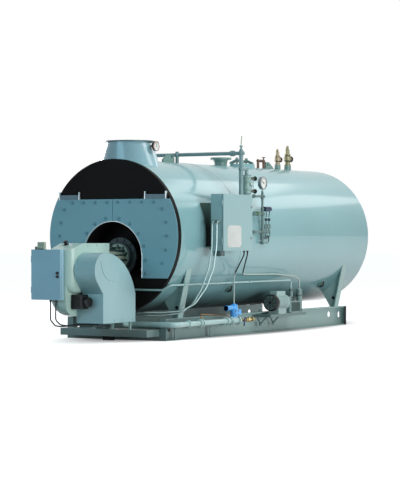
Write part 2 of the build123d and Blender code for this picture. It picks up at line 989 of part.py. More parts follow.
with BuildPart() as small_valve:
    safety_valve(small_valve_y, crown + small_valve_rise, small_valve_scale)
small_valve.part.label = "safety_valve_small"
export_step(small_valve.part, "parts/safety_valve_small.step")

with BuildPart() as large_valve:
    safety_valve(large_valve_y, crown + large_valve_rise, 1)
large_valve.part.label = "safety_valve_large"
export_step(large_valve.part, "parts/safety_valve_large.step")

# Handhole covers: round covers with a bolt, square to the lower shell
inner_x, inner_z = on_shell(handhole_angle, -handhole_rise)
outer_x, outer_z = on_shell(handhole_angle, handhole_rise)
bolt_x, bolt_z = on_shell(handhole_angle, handhole_bolt_rise)
with BuildPart() as handholes:
    for y in (back(front_handhole_from_front), ahead(rear_handhole_from_rear)):
        rod((inner_x, y, inner_z), (outer_x, y, outer_z), handhole_radius)
        rod((outer_x, y, outer_z), (bolt_x, y, bolt_z), handhole_bolt_radius)
    clear_of_shell()
handholes.part.label = "handhole_covers"
export_step(handholes.part, "parts/handhole_covers.step")

# Steam header: a pipe over the shell from behind the stack, down to the water column's leg
header_y = back(header_from_front)
header_z = crown + header_rise
column_y = header_y + column_offset
leg_z = level(column_leg_bottom)
upper_branch = level(column_top) + column_branch
lower_branch = level(column_bottom) - column_branch
with BuildPart() as header:
    rod((header_left_x, header_y, header_z), (column_x + header_stub, header_y, header_z), header_radius)
    for x in (header_left_x, header_tee_x):
        rod((x, header_y, axis_height), (x, header_y, header_z + header_stub), header_radius)
    rod((column_x, header_y, leg_z), (column_x, header_y, header_z + header_stub), column_leg_radius)
    rod((column_x, header_y, leg_z), (0, header_y, leg_z), column_leg_radius)
    for x in (header_left_x, header_tee_x, column_x):
        ball((x, header_y, header_z), fitting_radius)
    ball((column_x, header_y, leg_z), fitting_radius)
    union_x = column_x - 3 * fitting_radius
    rod((union_x - header_union, header_y, header_z), (union_x, header_y, header_z), fitting_radius)
    for branch, end in ((upper_branch, level(column_top)), (lower_branch, level(column_bottom))):
        rod((column_x, header_y, branch), (column_x, column_y, branch), header_radius)
        rod((column_x, column_y, branch), (column_x, column_y, end), header_radius)
        ball((column_x, header_y, branch), fitting_radius)
        ball((column_x, column_y, branch), 0.8 * fitting_radius)
    clear_of_shell()
header.part.label = "steam_header"
export_step(header.part, "parts/steam_header.step")

# Water column: a cast body with end flanges, beside the header's leg
with BuildPart() as column:
    rod((column_x, column_y, level(column_bottom)), (column_x, column_y, level(column_top)), column_radius)
    for z in (level(column_bottom), level(column_top) - column_flange):
        flange_top = z + column_flange
        rod((column_x, column_y, z), (column_x, column_y, flange_top), column_radius + column_flange_lip)
column.part.label = "water_column"
export_step(column.part, "parts/water_column.step")

# Gauge cocks: two shut-off cocks with handwheels, piped to the column
glass_y = back(glass_from_front)
glass_ends = (level(column_bottom) + glass_inset, level(column_top) - glass_inset)
with BuildPart() as cocks:
    for z in glass_ends:
        wheel_y = glass_y + wheel_reach
        ball((column_x, glass_y, z), cock_ball_radius)
        stem_y = column_y + column_radius + seat_gap
        rod((column_x, stem_y, z), (column_x, wheel_y, z), cock_stem_radius)
        rod((column_x, wheel_y, z), (column_x, wheel_y + wheel_depth, z), wheel_radius)
cocks.part.label = "gauge_cocks"
export_step(cocks.part, "parts/gauge_cocks.step")

# Gauge glass: the tube between the two cocks
with BuildPart() as glass:
    lower = glass_ends[0] + cock_ball_radius + seat_gap
    upper = glass_ends[1] - cock_ball_radius - seat_gap
    rod((column_x, glass_y, lower), (column_x, glass_y, upper), glass_radius)
glass.part.label = "gauge_glass"
export_step(glass.part, "parts/gauge_glass.step")

# Gauge manifold: an upright pipe with arms back to the shell, two syphon loops and a drain
manifold_y = back(manifold_from_front)
manifold_top = level(gauge_level) - gauge_radius - gauge_stem
syphon_z = level(syphon_arm_level) + syphon_stem + syphon_radius
sensor_z = syphon_z + syphon_radius + syphon_stem
with BuildPart() as manifold:
    foot_of_pipe = (manifold_x, manifold_y, level(manifold_bottom))
    rod(foot_of_pipe, (manifold_x, manifold_y, manifold_top), manifold_radius)
    for height in arm_levels:
        arm_y = manifold_y - arm_length
        z = level(height)
        ball((manifold_x, manifold_y, z), elbow_radius)
        rod((manifold_x, manifold_y, z), (manifold_x, arm_y, z), manifold_radius)
        ball((manifold_x, arm_y, z), elbow_radius)
        rod((manifold_x, arm_y, z), (0, arm_y, z), manifold_radius)
    switch_z = level(switch_level)
    ball((manifold_x, manifold_y, switch_z), elbow_radius)
    switch_y = manifold_y + switch_arm
    rod((manifold_x, manifold_y, switch_z), (manifold_x, switch_y, switch_z), syphon_tube)
    arm_z = level(syphon_arm_level)
    arm_end = manifold_y + syphon_places[1]
    rod((manifold_x, manifold_y, arm_z), (manifold_x, arm_end, arm_z), manifold_radius)
    for place in syphon_places:
        y = manifold_y + place
        ball((manifold_x, y, arm_z), elbow_radius)
        rod((manifold_x, y, arm_z), (manifold_x, y, syphon_z - syphon_radius), syphon_stem_radius)
        with Locations(Plane((manifold_x, y, syphon_z), z_dir=(1, 0, 0))):
            Torus(syphon_radius, syphon_tube)
        rod((manifold_x, y, syphon_z + syphon_radius), (manifold_x, y, sensor_z), syphon_stem_radius)
    drain_y = manifold_y + drain_length
    drain_z = level(manifold_bottom)
    ball((manifold_x, manifold_y, drain_z), elbow_radius)
    pipe(
        [
            (manifold_x, manifold_y, drain_z),
            (manifold_x, drain_y, drain_z),
            (manifold_x, drain_y, drain_z + drain_rise),
        ],
        drain_bend,
        syphon_tube,
    )
    cap_z = drain_z + drain_rise
    rod((manifold_x, drain_y, cap_z - drain_cap), (manifold_x, drain_y, cap_z), drain_cap_radius)
    clear_of_shell()
manifold.part.label = "gauge_manifold"
export_step(manifold.part, "parts/gauge_manifold.step")

# Pressure switches: a long case on its own arm, and a round sensor on each syphon
with BuildPart() as switches:
    switch_end = switch_y + switch_length
    rod((manifold_x, switch_y, switch_z), (manifold_x, switch_end, switch_z), switch_radius)
    for place in syphon_places:
        y = manifold_y + place
        rod((manifold_x, y, sensor_z), (manifold_x, y, sensor_z + sensor_height), sensor_radius)
switches.part.label = "pressure_switches"
export_step(switches.part, "parts/pressure_switches.step")

# Pressure gauge: a round case facing +X on top of the manifold
gauge_z = level(gauge_level)
gauge_face = manifold_x + gauge_depth / 2
with BuildPart() as gauge:
    rod((gauge_face - gauge_depth, manifold_y, gauge_z), (gauge_face, manifold_y, gauge_z), gauge_radius)
    fillet(gauge.edges().filter_by(GeomType.CIRCLE), gauge_edge)
    rod(
        (gauge_face - gauge_recess, manifold_y, gauge_z),
        (gauge_face, manifold_y, gauge_z),
        gauge_radius - gauge_rim,
        mode=Mode.SUBTRACT,
    )
    stem_end = gauge_z - gauge_radius + gauge_rim
    rod((manifold_x, manifold_y, manifold_top), (manifold_x, manifold_y, stem_end), gauge_stem_radius)
gauge.part.label = "pressure_gauge"
export_step(gauge.part, "parts/pressure_gauge.step")


# Hinges of the two enclosures: a pin on the box, a bored barrel on the door
def hinge_half(pin_x, pin_y, z, bored):
    """The lower half with its pin, or the bored upper half that drops over it."""
    if bored:
        rod((pin_x, pin_y, z + hinge_clearance), (pin_x, pin_y, z + hinge_length), hinge_radius)
        bore = hinge_pin_radius + hinge_clearance
        bore_top = z + hinge_length - hinge_radius
        rod((pin_x, pin_y, z), (pin_x, pin_y, bore_top), bore, mode=Mode.SUBTRACT)
    else:
        rod((pin_x, pin_y, z - hinge_length), (pin_x, pin_y, z), hinge_radius)
        pin_top = z + hinge_length - hinge_radius - hinge_clearance
        rod((pin_x, pin_y, z), (pin_x, pin_y, pin_top), hinge_pin_radius)


# Control cabinet: an open-fronted steel box with its hinge pins on the -Y side
cabinet_y = (back(cabinet_from_front), back(cabinet_from_front) + cabinet_width)
cabinet_z = (level(cabinet_bottom), level(cabinet_bottom) + cabinet_height)
cabinet_pin = (cabinet_front + door_gap, cabinet_y[0] - hinge_offset)
cabinet_hinges = (cabinet_z[0] + hinge_inset, cabinet_z[1] - hinge_inset)
with BuildPart() as cabinet:
    block((cabinet_back, cabinet_front), cabinet_y, cabinet_z)
    block(
        (cabinet_back + sheet, cabinet_front),
        (cabinet_y[0] + sheet, cabinet_y[1] - sheet),
        (cabinet_z[0] + sheet, cabinet_z[1] - sheet),
        mode=Mode.SUBTRACT,
    )
    for z in cabinet_hinges:
        block(
            (cabinet_front - hinge_lug, cabinet_front),
            (cabinet_pin[1], cabinet_y[0]),
            (z - hinge_length, z),
        )
        hinge_half(*cabinet_pin, z, bored=False)
cabinet.part.label = "control_cabinet"
export_step(cabinet.part, "parts/control_cabinet.step")

with BuildPart() as cabinet_door:
    block((cabinet_pin[0], cabinet_pin[0] + door_leaf), cabinet_y, cabinet_z)
    fillet(cabinet_door.edges().filter_by(Axis.Z), door_edge)
    for z in cabinet_hinges:
        block(
            (cabinet_pin[0], cabinet_pin[0] + hinge_radius),
            (cabinet_pin[1], cabinet_y[0] + hinge_radius),
            (z + hinge_clearance, z + hinge_length),
        )
        hinge_half(*cabinet_pin, z, bored=True)
cabinet_door.part.label = "cabinet_door"
export_step(cabinet_door.part, "parts/cabinet_door.step")

# Cabinet brackets: two upright plates from the shell to the cabinet's back
bracket_z = (cabinet_z[0] + bracket_bottom_margin, cabinet_z[1] - bracket_top_margin)
with BuildPart() as brackets:
    for y in (cabinet_y[0] + bracket_inset, cabinet_y[1] - bracket_inset):
        block((0, cabinet_back), (y - bracket_plate / 2, y + bracket_plate / 2), bracket_z)
    clear_of_shell()
brackets.part.label = "cabinet_brackets"
export_step(brackets.part, "parts/cabinet_brackets.step")

# Junction box under the cabinet's front corner
junction_y = cabinet_y[0] + junction_from_edge
with BuildPart() as junction:
    block(
        (cabinet_back + junction_inset, cabinet_front - junction_inset),
        (junction_y, junction_y + junction_width),
        (cabinet_z[0] - junction_height, cabinet_z[0]),
    )
    fillet(junction.edges().filter_by(Axis.Z), junction_edge)
junction.part.label = "cabinet_junction_box"
export_step(junction.part, "parts/cabinet_junction_box.step")

# Burner housing: a sheet-steel casing with a sloped front top, a large bend below and a shorter side bay
housing_y = (front_y - burner_front, front_y - burner_rear)
fan_side = burner_right + burner_side
with BuildPart() as housing:
    for side, depth, bottom in (
        (burner_left, burner_right - burner_left, burner_bottom_height),
        (burner_right, burner_side, level(burner_side_bottom)),
    ):
        with BuildSketch(facing_side(side)) as profile:
            with BuildLine():
                Polyline(
                    (housing_y[0], bottom),
                    (housing_y[0], level(burner_top) - burner_slope_drop),
                    (housing_y[0] + burner_slope_run, level(burner_top)),
                    (housing_y[1], level(burner_top)),
                    (housing_y[1], bottom),
                    close=True,
                )
            make_face()
        extrude(profile.sketch, amount=depth)
    lengthwise = housing.edges().filter_by(Axis.Y).group_by(Axis.X)
    fillet(lengthwise[0].sort_by(Axis.Z)[0], burner_bottom_fillet)
    lengthwise = housing.edges().filter_by(Axis.Y).group_by(Axis.X)
    fillet(lengthwise[-1].sort_by(Axis.Z)[0], burner_side_fillet)
    upright = housing.faces().sort_by(Axis.Y)[0].edges().filter_by(Axis.Z).group_by(Axis.X)
    fillet(upright[0] + upright[-1], burner_edge_fillet)
housing.part.label = "burner_housing"
export_step(housing.part, "parts/burner_housing.step")

# Air box: an inlet casing with a rolled top over the fan and a straight shaft below
toe = front_y - air_box_front
heel = front_y - air_box_rear
neck_z = level(air_box_neck)
roll_y = front_y - scroll_from_front
roll_z = level(scroll_level)
neck_reach = hypot(toe - roll_y, neck_z - roll_z)
neck_angle = atan2(neck_z - roll_z, toe - roll_y) + asin(scroll_radius / neck_reach)
neck_run = sqrt(neck_reach**2 - scroll_radius**2)
neck_end = (toe - neck_run * cos(neck_angle), neck_z - neck_run * sin(neck_angle))
roll_mid = (
    roll_y - scroll_radius * cos(radians(scroll_mid_angle)),
    roll_z + scroll_radius * sin(radians(scroll_mid_angle)),
)
roll_top = (roll_y, roll_z + scroll_radius)
rib_centre = (front_y - inlet_rib_from_front, level(inlet_rib_level))
with BuildPart() as air_box:
    block((burner_right, fan_side), (toe, heel), (air_box_bottom_height, level(air_box_shoulder)))
    with BuildSketch(facing_side(fan_side)) as profile:
        with BuildLine():
            Polyline((heel, air_box_bottom_height), (toe, air_box_bottom_height), (toe, neck_z), neck_end)
            ThreePointArc(neck_end, roll_mid, roll_top)
            TangentArc(roll_top, (heel, level(air_box_shoulder)), tangent=(1, 0))
            Line((heel, level(air_box_shoulder)), (heel, air_box_bottom_height))
        make_face()
    extrude(profile.sketch, amount=air_box_right - fan_side)
    with BuildSketch(facing_side(air_box_right)) as groove:
        with Locations(rib_centre):
            Circle(inlet_rib_radius)
            Circle(inlet_rib_radius - inlet_rib, mode=Mode.SUBTRACT)
        with Locations((rib_centre[0] - inlet_rib_radius / 2, rib_centre[1] - inlet_rib_radius / 2)):
            Rectangle(inlet_rib_radius + inlet_rib, inlet_rib_radius, mode=Mode.INTERSECT)
    extrude(groove.sketch, amount=-inlet_rib_depth, mode=Mode.SUBTRACT)
air_box.part.label = "burner_air_box"
export_step(air_box.part, "parts/burner_air_box.step")

# Blast tube: a neck behind the housing, then the wider tube into the recess with its flange
tube_z = level(arch_centre)
tube_y = front_y + tube_from_front
flange_y = front_y + tube_flange_from_front
with BuildPart() as blast_tube:
    rod((0, housing_y[1], tube_z), (0, tube_y, tube_z), tube_neck_radius)
    rod((0, tube_y, tube_z), (0, recess_y, tube_z), tube_radius)
    rod((0, flange_y, tube_z), (0, flange_y + tube_flange, tube_z), tube_flange_radius)
blast_tube.part.label = "blast_tube"
export_step(blast_tube.part, "parts/blast_tube.step")

# Burner control box: an open-fronted box on the housing's front, hinged at its -X side
control_x = (control_left, control_right)
control_y = (housing_y[0] - control_depth, housing_y[0])
control_z = (level(control_bottom), level(control_top))
control_pin = (control_left - hinge_offset, control_y[0] - door_gap)
control_hinges = (control_z[0] + hinge_inset, control_z[1] - hinge_inset)
with BuildPart() as control_box:
    block(control_x, control_y, control_z)
    block(
        (control_x[0] + sheet, control_x[1] - sheet),
        (control_y[0], control_y[1] - sheet),
        (control_z[0] + sheet, control_z[1] - sheet),
        mode=Mode.SUBTRACT,
    )
    for z in control_hinges:
        block(
            (control_pin[0], control_x[0]),
            (control_y[0], control_y[0] + hinge_lug),
            (z - hinge_length, z),
        )
        hinge_half(*control_pin, z, bored=False)
control_box.part.label = "burner_control_box"
export_step(control_box.part, "parts/burner_control_box.step")

with BuildPart() as control_door:
    leaf_y = (control_pin[1] - door_leaf, control_pin[1])
    block(control_x, leaf_y, control_z)
    fillet(control_door.edges().filter_by(Axis.Z), door_edge)
    for z in control_hinges:
        block(
            (control_pin[0], control_x[0] + hinge_radius),
            (control_pin[1] - hinge_radius, control_pin[1]),
            (z + hinge_clearance, z + hinge_length),
        )
        hinge_half(*control_pin, z, bored=True)
    latch_x = control_right - latch_inset
    for z in (level(latch_level) - latch_spacing / 2, level(latch_level) + latch_spacing / 2):
        rod((latch_x, leaf_y[0], z), (latch_x, leaf_y[0] - latch_radius, z), latch_radius)
control_door.part.label = "control_box_door"
export_step(control_door.part, "parts/control_box_door.step")

# Relay on top of the control box
relay_x = control_left + relay_from_edge
relay_y = control_y[0] + relay_setback
with BuildPart() as relay:
    block(
        (relay_x, relay_x + relay_length),
        (relay_y, relay_y + relay_width),
        (control_z[1], control_z[1] + relay_height),
    )
    chamfer(relay.edges().group_by(Axis.Z)[-1], relay_edge)
relay.part.label = "burner_relay"
export_step(relay.part, "parts/burner_relay.step")

# Damper motor: a black drive on the air box's front, with a round end cap to +X
damper_x = (burner_right + damper_gap, burner_right + damper_gap + damper_width)
damper_y = (toe - damper_depth, toe)
damper_z = (level(damper_bottom), level(damper_bottom) + damper_height)
with BuildPart() as damper:
    block(damper_x, damper_y, damper_z)
    fillet(damper.edges().filter_by(Axis.Y), damper_edge)
    cap_axis = (sum(damper_y) / 2, sum(damper_z) / 2)
    cap_end = damper_x[1] + damper_cap_length
    rod((damper_x[1], *cap_axis), (cap_end, *cap_axis), damper_neck_radius)
    rod((cap_end - damper_cap_length / 2, *cap_axis), (cap_end, *cap_axis), damper_cap_radius)
damper.part.label = "damper_motor"
export_step(damper.part, "parts/damper_motor.step")

# Posts between the platform and the air box
post_y = front_y - post_from_front
with BuildPart() as posts:
    for x in (burner_right + post_inset, air_box_right - post_inset):
        block(
            (x - post_width / 2, x + post_width / 2),
            (post_y - post_width / 2, post_y + post_width / 2),
            (platform_top, air_box_bottom_height),
        )
posts.part.label = "burner_posts"
export_step(posts.part, "parts/burner_posts.step")

# Junction box on the platform, where the burner's cables and conduits meet
box_x = (box_left, box_left + box_width)
box_y = (front_y - box_from_front - box_depth, front_y - box_from_front)
with BuildPart() as platform_box:
    block(box_x, box_y, (platform_top, platform_top + box_height))
    fillet(platform_box.edges().filter_by(Axis.Z), box_edge)
platform_box.part.label = "platform_junction_box"
export_step(platform_box.part, "parts/platform_junction_box.step")

# Fuel pipe: along the outside of the right-hand rail, across the front and into the air box
valve_y = (back(fuel_valve_from_front), back(fuel_valve_from_front) + fuel_valve_length)
riser_y = front_y - fuel_riser_front
fuel_inlet_z = air_box_bottom_height + fuel_inlet_rise
with BuildPart() as fuel_pipe:
    pipe(
        [
            (fuel_x, valve_y[0], fuel_z),
            (fuel_x, front_y - fuel_front, fuel_z),
            (fuel_riser_x, front_y - fuel_front, fuel_z),
            (fuel_riser_x, riser_y, fuel_z),
            (fuel_riser_x, riser_y, fuel_inlet_z),
            (fuel_riser_x, heel, fuel_inlet_z),
        ],
        [fuel_bend, fuel_corner, fuel_riser_bend, fuel_riser_bend],
        fuel_radius,
    )
    for distance in (union_from_front, union_from_front + union_gap):
        y = back(distance)
        rod((fuel_x, y, fuel_z), (fuel_x, y + union_flange, fuel_z), union_radius)
    y = back(coupling_from_front)
    rod((fuel_x, y, fuel_z), (fuel_x, y + coupling_length, fuel_z), coupling_radius)
fuel_pipe.part.label = "fuel_pipe"
export_step(fuel_pipe.part, "parts/fuel_pipe.step")

# Fuel valve: a flanged body at the pipe's end, with a short bonnet
valve_middle = sum(valve_y) / 2
actuator_z = fuel_z + actuator_bonnet
with BuildPart() as fuel_valve:
    rod((fuel_x, valve_y[0], fuel_z), (fuel_x, valve_y[1], fuel_z), fuel_valve_radius)
    for y in (valve_y[0], valve_y[1] - fuel_valve_flange):
        rod((fuel_x, y, fuel_z), (fuel_x, y + fuel_valve_flange, fuel_z), fuel_valve_flange_radius)
    rod((fuel_x, valve_middle, fuel_z), (fuel_x, valve_middle, actuator_z), fuel_radius)
fuel_valve.part.label = "fuel_valve"
export_step(fuel_valve.part, "parts/fuel_valve.step")

# Valve actuator: an upright drum with a knob towards the front and a plug to the rear
actuator_top = actuator_z + actuator_height
with BuildPart() as actuator:
    rod((fuel_x, valve_middle, actuator_z), (fuel_x, valve_middle, actuator_top), actuator_radius)
    fillet(actuator.edges().filter_by(GeomType.CIRCLE).sort_by(Axis.Z)[-1], actuator_edge)
    knob_z = actuator_z + actuator_knob_rise
    knob_y = valve_middle - actuator_knob_reach
    rod((fuel_x, valve_middle, knob_z), (fuel_x, knob_y, knob_z), actuator_knob_radius)
    plug_z = actuator_z + actuator_plug_rise
    block(
        (fuel_x - actuator_plug, fuel_x + actuator_plug),
        (valve_middle, valve_middle + actuator_plug_reach),
        (plug_z - actuator_plug, plug_z + actuator_plug),
    )
actuator.part.label = "valve_actuator"
export_step(actuator.part, "parts/valve_actuator.step")

# Brass cock beyond the fuel valve
cock_y = (valve_y[1], valve_y[1] + cock_length)
with BuildPart() as cock:
    rod((fuel_x, cock_y[0], fuel_z), (fuel_x, cock_y[1], fuel_z), cock_pipe_radius)
    for share in (0.46, 0.86):
        nut_y = cock_y[0] + share * cock_length
        rod((fuel_x, nut_y, fuel_z), (fuel_x, nut_y + cock_nut_radius, fuel_z), cock_nut_radius)
    ball((fuel_x, cock_y[0] + 0.68 * cock_length, fuel_z), cock_body_radius)
cock.part.label = "brass_cock"
export_step(cock.part, "parts/brass_cock.step")

# Brackets that carry the fuel pipe off the rail
support_z = fuel_z - fuel_radius - seat_gap
with BuildPart() as pipe_supports:
    for distance in support_places:
        support_y = (back(distance) - support_width / 2, back(distance) + support_width / 2)
        block((rail_outer, fuel_x + fuel_radius), support_y, (support_z - support_plate, support_z))
        block((rail_outer, rail_outer + support_plate), support_y, (0, support_height))
pipe_supports.part.label = "fuel_pipe_supports"
export_step(pipe_supports.part, "parts/fuel_pipe_supports.step")

# Shelf for the air compressor, held off the rail by two braces of round bar
shelf_y = (back(shelf_from_front), back(shelf_from_front) + shelf_length)
brace_z = shelf_height - shelf_plate - brace_drop
with BuildPart() as shelf:
    block((rail_outer, rail_outer + shelf_width), shelf_y, (shelf_height - shelf_plate, shelf_height))
    for distance in brace_places:
        y = back(distance)
        apex = (rail_outer + brace_radius, y, brace_z)
        under = shelf_height - shelf_plate / 2
        rod(apex, (rail_outer + brace_radius + brace_out, y, under), brace_radius)
        rod(apex, (rail_outer + brace_radius, y - brace_along, under), brace_radius)
        block(
            (rail_outer, rail_outer + brace_pad_depth),
            (y - brace_pad, y + brace_pad),
            (brace_z - brace_pad, brace_z + brace_pad),
        )
    block(
        (rail_inner, rail_outer),
        shelf_y,
        (0, shelf_height),
        mode=Mode.SUBTRACT,
    )
shelf.part.label = "compressor_shelf"
export_step(shelf.part, "parts/compressor_shelf.step")

# Compressor motor: a round body with a dished fan cover towards the burner end
motor_z = shelf_height + motor_axis_rise
motor_y = (back(motor_from_front), back(motor_from_front) + motor_length)
compressor_y = (back(compressor_from_front), back(compressor_from_front) + compressor_length)
with BuildPart() as motor:
    fan_y = motor_y[0] + fan_cover_length
    rod((motor_x, motor_y[0], motor_z), (motor_x, fan_y, motor_z), motor_radius)
    fillet(motor.edges().filter_by(GeomType.CIRCLE).sort_by(Axis.Y)[0], fan_cover_fillet)
    rod((motor_x, fan_y, motor_z), (motor_x, motor_y[1], motor_z), motor_body_radius)
    rod((motor_x, motor_y[1], motor_z), (motor_x, compressor_y[0], motor_z), shaft_radius)
    block(
        (motor_x - motor_foot_width / 2, motor_x + motor_foot_width / 2),
        (motor_y[0] + motor_foot_inset, motor_y[1] - motor_foot_inset / 2),
        (shelf_height, motor_z),
    )
    terminal_y = fan_y + motor_terminal_setback
    terminal_z = motor_z + motor_body_radius + motor_terminal_rise
    block(
        (motor_x - motor_terminal_width / 2, motor_x + motor_terminal_width / 2),
        (terminal_y, terminal_y + motor_terminal_length),
        (motor_z, terminal_z),
    )
motor.part.label = "compressor_motor"
export_step(motor.part, "parts/compressor_motor.step")

# Air compressor: a block with a round head, a riser to the air pipe and an upright filter
air_pipe_x, air_pipe_z = on_shell(air_pipe_angle, air_pipe_standoff)
riser_place = back(riser_from_front)
riser_top = air_pipe_z - riser_drop
filter_y = back(filter_from_front)
compressor_top = shelf_height + compressor_height
with BuildPart() as compressor:
    block(
        (motor_x - compressor_width / 2, motor_x + compressor_width / 2),
        compressor_y,
        (shelf_height, compressor_top),
    )
    fillet(compressor.edges().filter_by(Axis.Z), compressor_edge)
    head_y = compressor_y[0] + head_radius
    rod((motor_x, head_y, compressor_top), (motor_x, head_y, compressor_top + head_rise), head_radius)
    rod((motor_x, head_y, motor_z), (motor_x, compressor_y[0], motor_z), head_radius)
    rod((motor_x, riser_place, shelf_height), (motor_x, riser_place, riser_top), riser_radius)
    filter_top = shelf_height + filter_height
    rod((motor_x, filter_y, shelf_height), (motor_x, filter_y, filter_top), filter_radius)
    fillet(compressor.edges().filter_by(GeomType.CIRCLE).sort_by(Axis.Y)[-1], filter_edge)
    neck_level = shelf_height + filter_neck_height
    rod((motor_x, compressor_y[0], neck_level), (motor_x, filter_y, neck_level), filter_neck_radius)
compressor.part.label = "air_compressor"
export_step(compressor.part, "parts/air_compressor.step")

# Air pipe: from the compressor's riser along the shell and round the front to the air box
pipe_front = front_y - air_pipe_front
with BuildPart() as air_pipe:
    pipe(
        [
            (motor_x, riser_place, riser_top),
            (motor_x, riser_place, air_pipe_z),
            (air_pipe_x, shelf_y[0], air_pipe_z),
            (air_pipe_x, pipe_front, air_pipe_z),
            (air_pipe_x - air_pipe_step, pipe_front, level(air_pipe_front_level)),
            (air_pipe_end_x, pipe_front, level(air_pipe_front_level)),
            (air_pipe_end_x, pipe_front, level(air_pipe_end_level)),
            (air_pipe_end_x, heel, level(air_pipe_end_level)),
        ],
        air_pipe_bend,
        air_pipe_radius,
    )
air_pipe.part.label = "air_pipe"
export_step(air_pipe.part, "parts/air_pipe.step")

# Conduits: from the cabinet's side down round the shell and across the front to the box
turn_y = cabinet_y[0] - conduit_reach
with BuildPart() as conduits:
    for place, around, over, entry in conduit_rows:
        x = cabinet_back + place
        points = [
            (x, cabinet_y[0], level(conduit_level)),
            (x, turn_y, level(conduit_level)),
            (x, turn_y - conduit_lean, level(conduit_drop_level)),
        ]
        for angle, standoff, distance in around:
            side_x, side_z = on_shell(angle, standoff)
            points.append((side_x, back(distance), side_z))
        for out, distance, rise in over:
            points.append((rail_inner + out, back(distance), rail_height + rise))
        for gap in (conduit_entry, 0):
            points.append((box_x[1] + gap, back(entry[0]), platform_top + entry[1]))
        pipe(points, conduit_bends, conduit_radius)
conduits.part.label = "conduits"
export_step(conduits.part, "parts/conduits.step")

# Cabinet cables: from the cabinet's underside to the fuel valve's actuator and the compressor
with BuildPart() as cabinet_cables:
    start = (cabinet_back + valve_cable_out, cabinet_y[1] - valve_cable_from_rear)
    pipe(
        [
            (*start, cabinet_z[0]),
            (*start, cabinet_z[0] - cable_drop),
            (fuel_x, valve_middle, level(valve_cable_level)),
            (fuel_x, valve_middle, actuator_top),
        ],
        valve_cable_bends,
        cable_radius,
    )
    start = (cabinet_back + motor_cable_out, cabinet_y[1] - motor_cable_from_rear)
    points = [(*start, cabinet_z[0]), (*start, cabinet_z[0] - cable_drop)]
    for out, distance, height in motor_cable_run:
        points.append((rail_outer + out, back(distance), level(height)))
    points.append((motor_x, filter_y, level(motor_cable_end)))
    points.append((motor_x, filter_y, filter_top))
    pipe(points, motor_cable_bends, cable_radius)
cabinet_cables.part.label = "cabinet_cables"
export_step(cabinet_cables.part, "parts/cabinet_cables.step")

# Burner cables: from under the control box, back under the burner to the platform's box
with BuildPart() as burner_cables:
    for number, x in enumerate(burner_cable_places):
        y = control_y[0] + burner_cable_setback + number * burner_cable_step
        low = platform_top + burner_cable_height + number * burner_cable_lift
        points = [(x, y, control_z[0]), (x, y, burner_bottom_height - burner_cable_turn)]
        for distance, rise in burner_cable_run:
            points.append((x, y + distance, low + rise))
        points.append((x, box_y[0], low))
        pipe(points, burner_cable_bends, cable_radius)
burner_cables.part.label = "burner_cables"
export_step(burner_cables.part, "parts/burner_cables.step")
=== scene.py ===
from math import cos, pi, radians, sin

import bmesh
import bpy
from mathutils import Matrix, Vector


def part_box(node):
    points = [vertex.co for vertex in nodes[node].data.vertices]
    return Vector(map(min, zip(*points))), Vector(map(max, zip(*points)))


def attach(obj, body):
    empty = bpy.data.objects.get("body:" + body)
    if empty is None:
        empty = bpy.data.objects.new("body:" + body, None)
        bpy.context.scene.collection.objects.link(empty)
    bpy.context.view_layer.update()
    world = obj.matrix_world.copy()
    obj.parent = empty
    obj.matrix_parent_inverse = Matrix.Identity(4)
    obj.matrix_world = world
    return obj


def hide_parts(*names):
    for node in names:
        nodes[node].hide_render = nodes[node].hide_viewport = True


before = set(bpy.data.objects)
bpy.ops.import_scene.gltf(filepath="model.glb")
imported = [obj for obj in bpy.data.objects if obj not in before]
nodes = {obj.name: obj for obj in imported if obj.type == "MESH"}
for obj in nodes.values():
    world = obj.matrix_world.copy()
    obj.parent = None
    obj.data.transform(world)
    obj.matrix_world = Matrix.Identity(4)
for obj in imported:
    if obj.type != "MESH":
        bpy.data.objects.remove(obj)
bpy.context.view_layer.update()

# Studio: the boiler stands on a pale floor, painted dark under the skid as its shadow. A long soft light
# hangs over its right side, with others beyond the cabinet and on the left, and a weak cool one on the
# burner end. Two panels behind it put bright bands along the glossy shell, and the floor glows brighter
# to glossy rays only, a painted reflection along the shell's lower half.
scene = bpy.context.scene
scene.view_settings.view_transform = "Standard"

camera = bpy.data.objects.new("camera", bpy.data.cameras.new("camera"))
picture_height = 487
focal_pixels = 1823.5
centre_pixels = (1.1, 0.4)
camera.data.lens = focal_pixels * camera.data.sensor_width / picture_height
camera.data.shift_x = centre_pixels[0] / picture_height
camera.data.shift_y = centre_pixels[1] / picture_height
camera.data.clip_end = 200
camera.location = (11.835, -20.115, 1.210)
camera.rotation_euler = (radians(90 - 0.256), 0, radians(31.17))
scene.collection.objects.link(camera)
scene.camera = camera


def soft_light(name, place, target, width, length, watts, tint):
    """A rectangular studio light that faces the target."""
    lamp = bpy.data.lights.new(name, "AREA")
    lamp.shape = "RECTANGLE"
    lamp.size = width
    lamp.size_y = length
    lamp.energy = watts
    lamp.color = tint
    stand = bpy.data.objects.new(name, lamp)
    stand.location = place
    aim = Vector(target) - Vector(place)
    stand.rotation_euler = aim.to_track_quat("-Z", "Y").to_euler()
    scene.collection.objects.link(stand)


